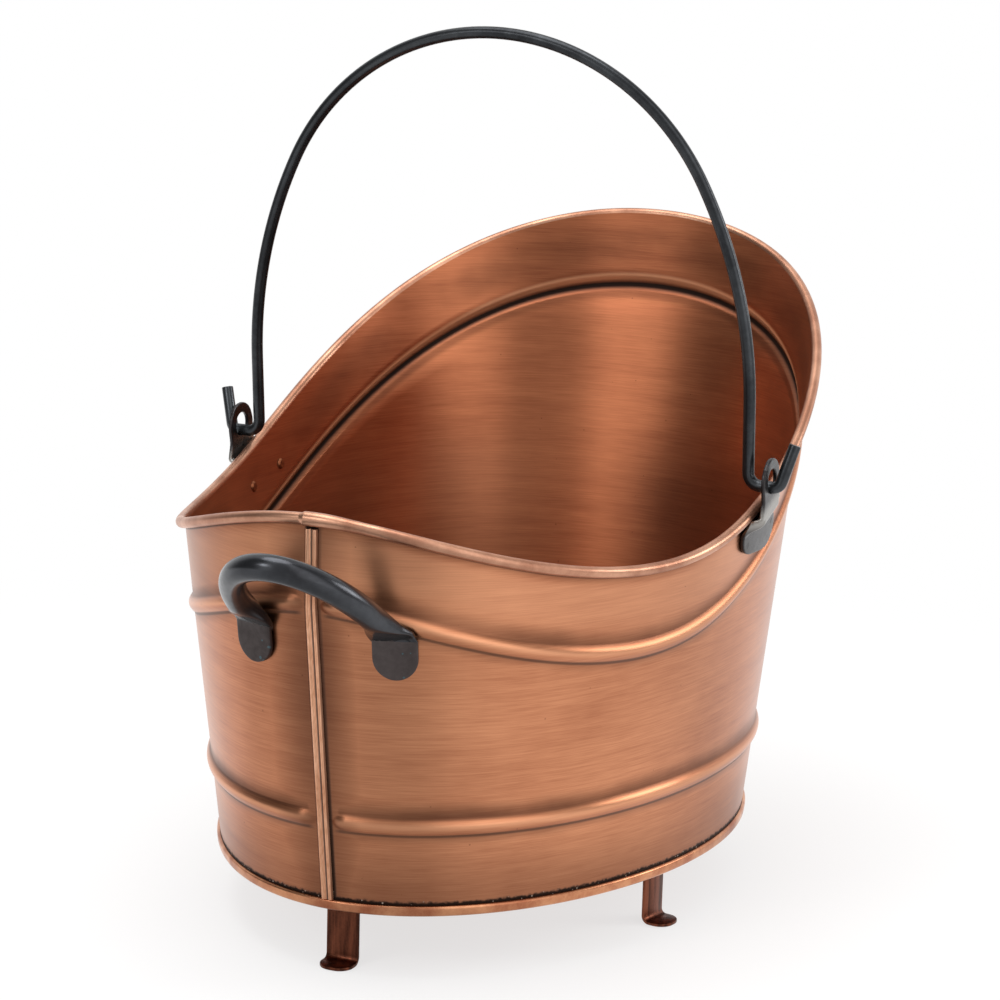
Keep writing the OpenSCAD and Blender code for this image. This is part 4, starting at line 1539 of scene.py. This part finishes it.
@dataclass
class EarPlate(Assembly):
    """A forged ear: a ring on a neck that runs out into an oval pad, and that is bent off the wall to clear the rim.

    Places on the flat plate are y along the bucket and height h over the wall's foot.
    """

    end: str
    hand: float
    thick: float = 2.5
    ring_d: float = 28.0
    hole_d: float = 15.5
    hole_h: float = 236.421
    ring_blend: float = 5.0
    neck_w: float = 21.0
    neck_blend: float = 30.0
    pad_w: float = 46.2
    pad_h: float = 21.7
    pad_tilt: float = -8.0
    drop: float = 33.6
    shift: float = 16.0
    tilt: float = 6.0
    seat_drop: float = 35.5
    pivot_y: float = 9.5
    ring_x: float = 184.262
    rim_foot_h: float = 216.821
    rim_slope: float = 0.36179
    rim_gap: float = 1.5
    rim_blend: float = 4.0
    bend_drop: float = 10.0
    bend_run: float = 9.0
    shell: Point = (-276.838, 21.6985, 449.253)
    climb: float = 0.125623
    blank: tuple[float, float] = (84.0, 72.0)
    blank_middle: tuple[float, float] = (22.0, 218.421)
    cell: float = 0.5
    trim: float = 0.6
    wear: float = 0.2
    voxel: float = 0.4
    neck_flat: float = 12.0
    neck_fade: float = 8.0

    @staticmethod
    def join(first: Array, second: Array, width: float) -> Array:
        """Smaller of two distances, rounded where they meet."""
        k = np.clip(0.5 + 0.5 * (second - first) / width, 0.0, 1.0)
        return second + (first - second) * k - width * k * (1.0 - k)

    @staticmethod
    def turned(y: Array, h: Array, angle: float) -> tuple[Array, Array]:
        """Positions along and across a direction that is turned by an angle in degrees."""
        return y * cosd(angle) + h * sind(angle), h * cosd(angle) - y * sind(angle)

    def over_rim(self, y: Array, h: Array) -> Array:
        """Height over the underside of the rim."""
        return h - self.rim_foot_h - self.rim_slope * (y - self.pivot_y)

    def edge(self, y: Array, h: Array) -> Array:
        """Distance outside the ear's outline, which is negative inside it.

        Args:
            y: places along the bucket.
            h: heights.

        Returns:
            Distances.
        """
        u, v = self.turned(y - self.pivot_y, h - self.hole_h, self.tilt)
        pad_v = self.turned(self.shift, -self.drop, self.tilt)[1]
        beside, beyond = np.abs(u) - self.neck_w / 2, np.maximum(v, pad_v - v)
        neck = np.hypot(np.maximum(beside, 0.0), np.maximum(beyond, 0.0)) + np.minimum(np.maximum(beside, beyond), 0.0)
        along, across = self.turned(y - self.pivot_y - self.shift, h - self.hole_h + self.drop, self.pad_tilt)
        pad = np.hypot(np.maximum(np.abs(along) - (self.pad_w - self.pad_h) / 2, 0.0), across) - self.pad_h / 2
        pad = -self.join(-pad, -(self.over_rim(y, h) + self.rim_gap), self.rim_blend)
        ring = np.hypot(u, v)
        plate = self.join(self.join(neck, pad, self.neck_blend), ring - self.ring_d / 2, self.ring_blend)
        return np.maximum(plate, self.hole_d / 2 - ring) - self.wear

    def bent(self, y: Array, h: Array) -> Array:
        """Points in the middle of the plate: the pad follows the wall, and the neck rises off it to the ring's plane.

        Args:
            y: places along the bucket.
            h: heights.

        Returns:
            Points in metres.
        """
        u, _ = self.turned(y - self.pivot_y, h - self.hole_h, self.tilt)
        over = self.over_rim(y, h)
        pad_x = self.shell[0] + np.sqrt((self.shell[2] + self.thick / 2) ** 2 - (y - self.shell[1]) ** 2)
        pad_x = pad_x + self.climb * (h - self.hole_h + self.seat_drop)
        beside = np.maximum(1.0 - smooth((np.abs(u) - self.neck_flat) / self.neck_fade), smooth((over + 1.0) / 3.0))
        share = smooth((over + self.bend_drop) / self.bend_run) * beside
        x = pad_x + (self.ring_x - pad_x) * share
        return self.form.placed(np.stack([self.hand * x, y, self.form.foot_h + h], axis=-1))

    def build(self) -> None:
        """Cuts the plate out of a fine grid, bends it, gives it its thickness, rounds its edges and dresses it."""
        columns, rows = (int(side / self.cell) for side in self.blank)
        piece = Bench.primitive("ear_plate_" + self.end, "grid", x_subdivisions=columns, y_subdivisions=rows, size=1.0)
        co = Bench.points(piece)
        y, h = (self.blank_middle[i] + co[:, i] * self.blank[i] for i in (0, 1))
        outside, step = self.edge(y, h), 0.01
        slope = np.stack([self.edge(y + step, h) - outside, self.edge(y, h + step) - outside], axis=-1) / step
        near = np.abs(outside) < self.trim * self.cell
        pull = (outside / np.maximum((slope**2).sum(axis=-1), 0.05))[:, None] * slope * near[:, None]
        Bench.move(piece, self.bent(y - pull[:, 0], h - pull[:, 1]))
        Bench.pick(piece, "VERT", np.flatnonzero(outside > self.trim * self.cell))
        bpy.ops.mesh.delete(type="VERT")
        bpy.ops.mesh.select_all(action="SELECT")
        bpy.ops.mesh.remove_doubles(threshold=0.15 * self.cell * MM)
        Bench.close()
        Bench.modify(piece, "SOLIDIFY", thickness=self.thick * MM, offset=0.0)
        Bench.modify(piece, "REMESH", mode="VOXEL", voxel_size=self.voxel * MM)
        Bench.modify(piece, "SMOOTH", factor=0.5, iterations=12)
        Bench.seal(piece, fill=False)
        Bench.paint(piece, self.finishes.ear)
        Bench.finish(piece, 60.0, "ears", "ear_" + self.end)


@dataclass
class BailRod(Assembly):
    """The bail: a round rod bent to an arch on two legs and hooked outward through the ears."""

    pivot: Point = (0.0, 9.5, 271.521)
    rod_d: float = 7.5
    leg_x: float = 170.0
    leg_len: float = 50.0
    arch_h: float = 217.0
    crown_r: float = 155.0
    lean: float = 4.5
    bend_in: float = 8.0
    bend_out: float = 5.0
    tail_x: float = 191.262
    tail_len: float = 29.0
    tail_lean: float = 15.0
    tail_splay: float = 15.0
    end_round: float = 0.5
    sides: int = 32
    arch_steps: int = 40
    hook_steps: int = 12

    def build(self) -> None:
        """Bends half of the rod from its crown down, mirrors it and dresses it."""
        side_r = (self.leg_x**2 + self.arch_h**2 - 2 * self.arch_h * self.crown_r) / (2 * (self.leg_x - self.crown_r))
        turn = math.degrees(math.atan2(self.arch_h - self.crown_r, side_r - self.leg_x))
        crown = (0.0, 0.0, (self.leg_len + self.arch_h) * MM)
        size = {"vertices": self.sides, "radius": self.rod_d / 2 * MM, "rotation": (0.0, math.pi / 2, 0.0)}
        piece = Bench.primitive("bail_rod", "circle", crown, **size)
        Bench.edit(piece)
        Bench.spin(0.0, self.leg_len + self.arch_h - self.crown_r, 90.0 - turn, self.arch_steps)
        Bench.spin(self.leg_x - side_r, self.leg_len, turn, self.arch_steps)
        Bench.extrude(0.0, 0.0, self.bend_in - self.leg_len, 3)
        Bench.spin(self.leg_x + self.bend_in, self.bend_in, -90.0, self.hook_steps)
        Bench.extrude(self.tail_x - self.bend_out - self.leg_x - self.bend_in, 0.0, 0.0)
        splay = self.tail_splay - 90.0
        Bench.spin(self.tail_x - self.bend_out, self.bend_out, splay, self.hook_steps, self.tail_lean)
        reach = self.tail_len - self.bend_out
        level, rise = reach * sind(self.tail_splay), reach * cosd(self.tail_splay)
        Bench.extrude(level, rise * sind(self.tail_lean), rise * cosd(self.tail_lean))
        bpy.ops.mesh.edge_face_add()
        Bench.close()
        Bench.modify(piece, "MIRROR", use_axis=(True, False, False), use_mirror_merge=True, merge_threshold=1e-5)
        Bench.seal(piece, fill=False)
        limit = math.radians(50.0)
        Bench.modify(piece, "BEVEL", width=self.end_round * MM, segments=3, limit_method="ANGLE", angle_limit=limit)
        place = Matrix.Translation(Vector(self.form.placed(self.pivot)))
        piece.data.transform(place @ Matrix.Rotation(math.radians(self.lean), 4, "X"))
        Bench.paint(piece, self.finishes.rod)
        Bench.finish(piece, 40.0, "dark_rod", "bail", Body.BAIL)


@dataclass
class CarriedNodes:
    """Nodes whose own shape is right: they get a finish."""

    finishes: Finishes

    def dress(self) -> None:
        """Gives each node its finish."""
        finishes = self.finishes
        plan = {
            "base_pan": finishes.pan, "rim_wire": finishes.wire, "foot_rivets": finishes.foot,
            "handle_rivets": finishes.pad, "ear_rivets": finishes.ear_rivet}
        for name, finish in plan.items():
            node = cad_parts[name]
            if not node.material_slots:
                Bench.paint(node, finish)
            for slot in node.material_slots:
                slot.material = finish.material()
            log.info("%s: %s", name, finish.name)


@dataclass(frozen=True)
class Glow:
    """A soft patch of the studio that the metal reflects: its azimuth, how wide it is and how bright it is."""

    azimuth: float
    spread: float
    level: float

    def mask(self, mix: Mixer, direction: Value) -> Value:
        """How strongly the patch counts in a level direction.

        Args:
            mix: the tree's mixer.
            direction: the level direction.

        Returns:
            The mask.
        """
        aim = (sind(self.azimuth), -cosd(self.azimuth), 0.0)
        toward = mix.value("VectorMath", {0: direction, 1: aim}, "Value", operation="DOT_PRODUCT")
        return mix.ease(toward, cosd(self.spread), 1.0)


@dataclass(frozen=True)
class Lamp:
    """A soft round lamp: its place in metres, the height it is aimed at, its size and its power."""

    name: str
    place: Point
    aim_h: float
    size: float
    power: float

    def build(self) -> None:
        """Adds the lamp."""
        bpy.ops.object.select_all(action="DESELECT")
        turn = (Vector((0.0, 0.0, self.aim_h)) - Vector(self.place)).to_track_quat("-Z", "Y").to_euler()
        bpy.ops.object.light_add(type="AREA", location=self.place, rotation=turn)
        light = bpy.context.object
        light.name = self.name
        light.data.shape = "DISK"
        light.data.size = self.size
        light.data.energy = self.power


@dataclass
class Studio:
    """Floor, surroundings, lamps and camera. Azimuths count from -Y towards +X."""

    form: BucketForm
    azimuth: float = 24.11
    elevation: float = 11.45
    roll: float = 1.56
    distance: float = 1.8076
    target: Point = (-2.64, 25.7615, 240.6)
    focal: float = 2817.0
    sensor: float = 36.0
    picture: float = 1000.0
    wall_level: float = 0.55
    matt_level: float = 0.8
    floor_level: float = 0.92
    floor_colour: Colour = (0.93, 0.93, 0.93, 1.0)
    floor_gloss: float = 0.7
    floor_fade: Fade = Fade(0.3, 0.9, 0.7, 1.0)
    wall_glows: tuple[Glow, ...] = (
        Glow(-18.0, 20.0, 1.1), Glow(-62.0, 42.0, 0.12), Glow(8.0, 16.0, 0.6), Glow(66.0, 34.0, 1.8),
        Glow(115.0, 30.0, 0.42), Glow(-125.0, 35.0, 1.0), Glow(180.0, 60.0, 1.1))
    floor_glows: tuple[Glow, ...] = (
        Glow(8.0, 34.0, 0.52), Glow(-88.0, 50.0, 1.3), Glow(-46.0, 20.0, 0.95), Glow(85.0, 45.0, 1.2),
        Glow(-145.0, 40.0, 1.45), Glow(165.0, 30.0, 1.3))
    lamps: tuple[Lamp, ...] = (
        Lamp("top_light", (-0.3, -0.2, 2.4), 0.2, 1.6, 26.0), Lamp("left_light", (-0.79, -1.97, 1.38), 0.25, 0.7, 6.0),
        Lamp("right_light", (1.9, 1.1, 1.0), 0.25, 1.0, 14.0))

    @staticmethod
    def level(mix: Mixer, vector: Value, base: float, glows: tuple[Glow, ...]) -> Value:
        """Brightness in a direction: the base level, drawn to each patch's level where it stands.

        Args:
            mix: the tree's mixer.
            vector: the direction.
            base: the level away from all patches.
            glows: the patches.

        Returns:
            The brightness.
        """
        flat = mix.value("VectorMath", {0: vector, 1: (1.0, 1.0, 0.0)}, "Vector", operation="MULTIPLY")
        direction = mix.value("VectorMath", {0: flat}, "Vector", operation="NORMALIZE")
        value: Term = base
        for glow in glows:
            value = mix.value("Mix", {0: glow.mask(mix, direction), 2: value, 3: glow.level}, data_type="FLOAT")
        return value

    def floor(self) -> None:
        """A round pale floor that fades into the white surroundings."""
        place = (0.0, 0.0, -0.0004)
        floor = Bench.primitive("studio_floor", "circle", place, vertices=96, radius=3.0, fill_type="NGON")
        made = bpy.data.materials.new("studio_floor")
        made.use_nodes = True
        mix = Mixer(made.node_tree)
        place = mix.place()
        reach = mix.value("VectorMath", {0: place}, "Value", operation="LENGTH")
        white = mix.value("Emission", {"Color": WHITE, "Strength": 1.0})
        matt = mix.value("BsdfDiffuse", {"Color": self.floor_colour})
        level = self.level(mix, place, self.floor_level, self.floor_glows)
        mirrored = mix.value("Emission", {"Color": WHITE, "Strength": level})
        both = mix.value("MixShader", {0: self.floor_fade(reach), 1: matt, 2: white})
        glossy = mix.value("LightPath", output="Is Glossy Ray") * self.floor_gloss
        seen = mix.value("MixShader", {0: glossy, 1: both, 2: mirrored})
        mix.node("OutputMaterial", {"Surface": seen})
        floor.data.materials.append(made)

    def surroundings(self) -> None:
        """White surroundings, softer for the light that falls on the object."""
        world = bpy.data.worlds.new("studio")
        bpy.context.scene.world = world
        world.use_nodes = True
        mix = Mixer(world.node_tree)
        rays = ("Is Camera Ray", "Is Glossy Ray", "Is Transmission Ray")
        camera, glossy, clear = (mix.value("LightPath", output=ray) for ray in rays)
        mirrored = self.level(mix, mix.value("TexCoord", output="Generated"), self.wall_level, self.wall_glows)
        level = mix.value("Mix", {0: glossy, 2: self.matt_level, 3: mirrored}, data_type="FLOAT")
        level = mix.value("Mix", {0: mix.most(camera, clear), 2: level, 3: 1.0}, data_type="FLOAT")
        back = mix.value("Background", {"Color": WHITE, "Strength": level})
        mix.node("OutputWorld", {"Surface": back})

    def camera(self) -> None:
        """The camera that the photograph was fitted with."""
        a, e, r = (math.radians(v) for v in (self.azimuth, self.elevation, self.roll))
        back = Vector((math.sin(a) * math.cos(e), -math.cos(a) * math.cos(e), math.sin(e)))
        right = Vector((math.cos(a), math.sin(a), 0.0))
        up = back.cross(right)
        axes = (right * math.cos(r) + up * math.sin(r), up * math.cos(r) - right * math.sin(r), back)
        place = Vector(self.form.placed(self.target)) + back * self.distance
        bpy.ops.object.select_all(action="DESELECT")
        bpy.ops.object.camera_add()
        camera = bpy.context.object
        camera.name = "studio_camera"
        camera.matrix_world = Matrix.Translation(place) @ Matrix(axes).transposed().to_4x4()
        camera.data.sensor_width = self.sensor
        camera.data.lens = self.focal * self.sensor / self.picture
        camera.data.clip_end = 100.0
        bpy.context.scene.camera = camera

    def build(self) -> None:
        """Sets the studio up."""
        self.floor()
        self.surroundings()
        for lamp in self.lamps:
            lamp.build()
        self.camera()
        bpy.context.scene.view_settings.view_transform = "Standard"
        log.info("studio ready")


def main() -> None:
    """Builds all sub-assemblies in order."""
    logging.basicConfig(level=logging.INFO, format="%(name)s %(message)s")
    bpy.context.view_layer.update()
    form = BucketForm().seated()
    finishes = Finishes()
    for assembly in (CopperWall, RolledRim, SeamStrip, FootHem, StrapFeet, TubeGrip):
        assembly(form, finishes).build()
    for end, hand in (("right", 1.0), ("left", -1.0)):
        EarPlate(form, finishes, end, hand).build()
    BailRod(form, finishes).build()
    CarriedNodes(finishes).dress()
    Studio(form).build()


if __name__ == "__main__":
    main()
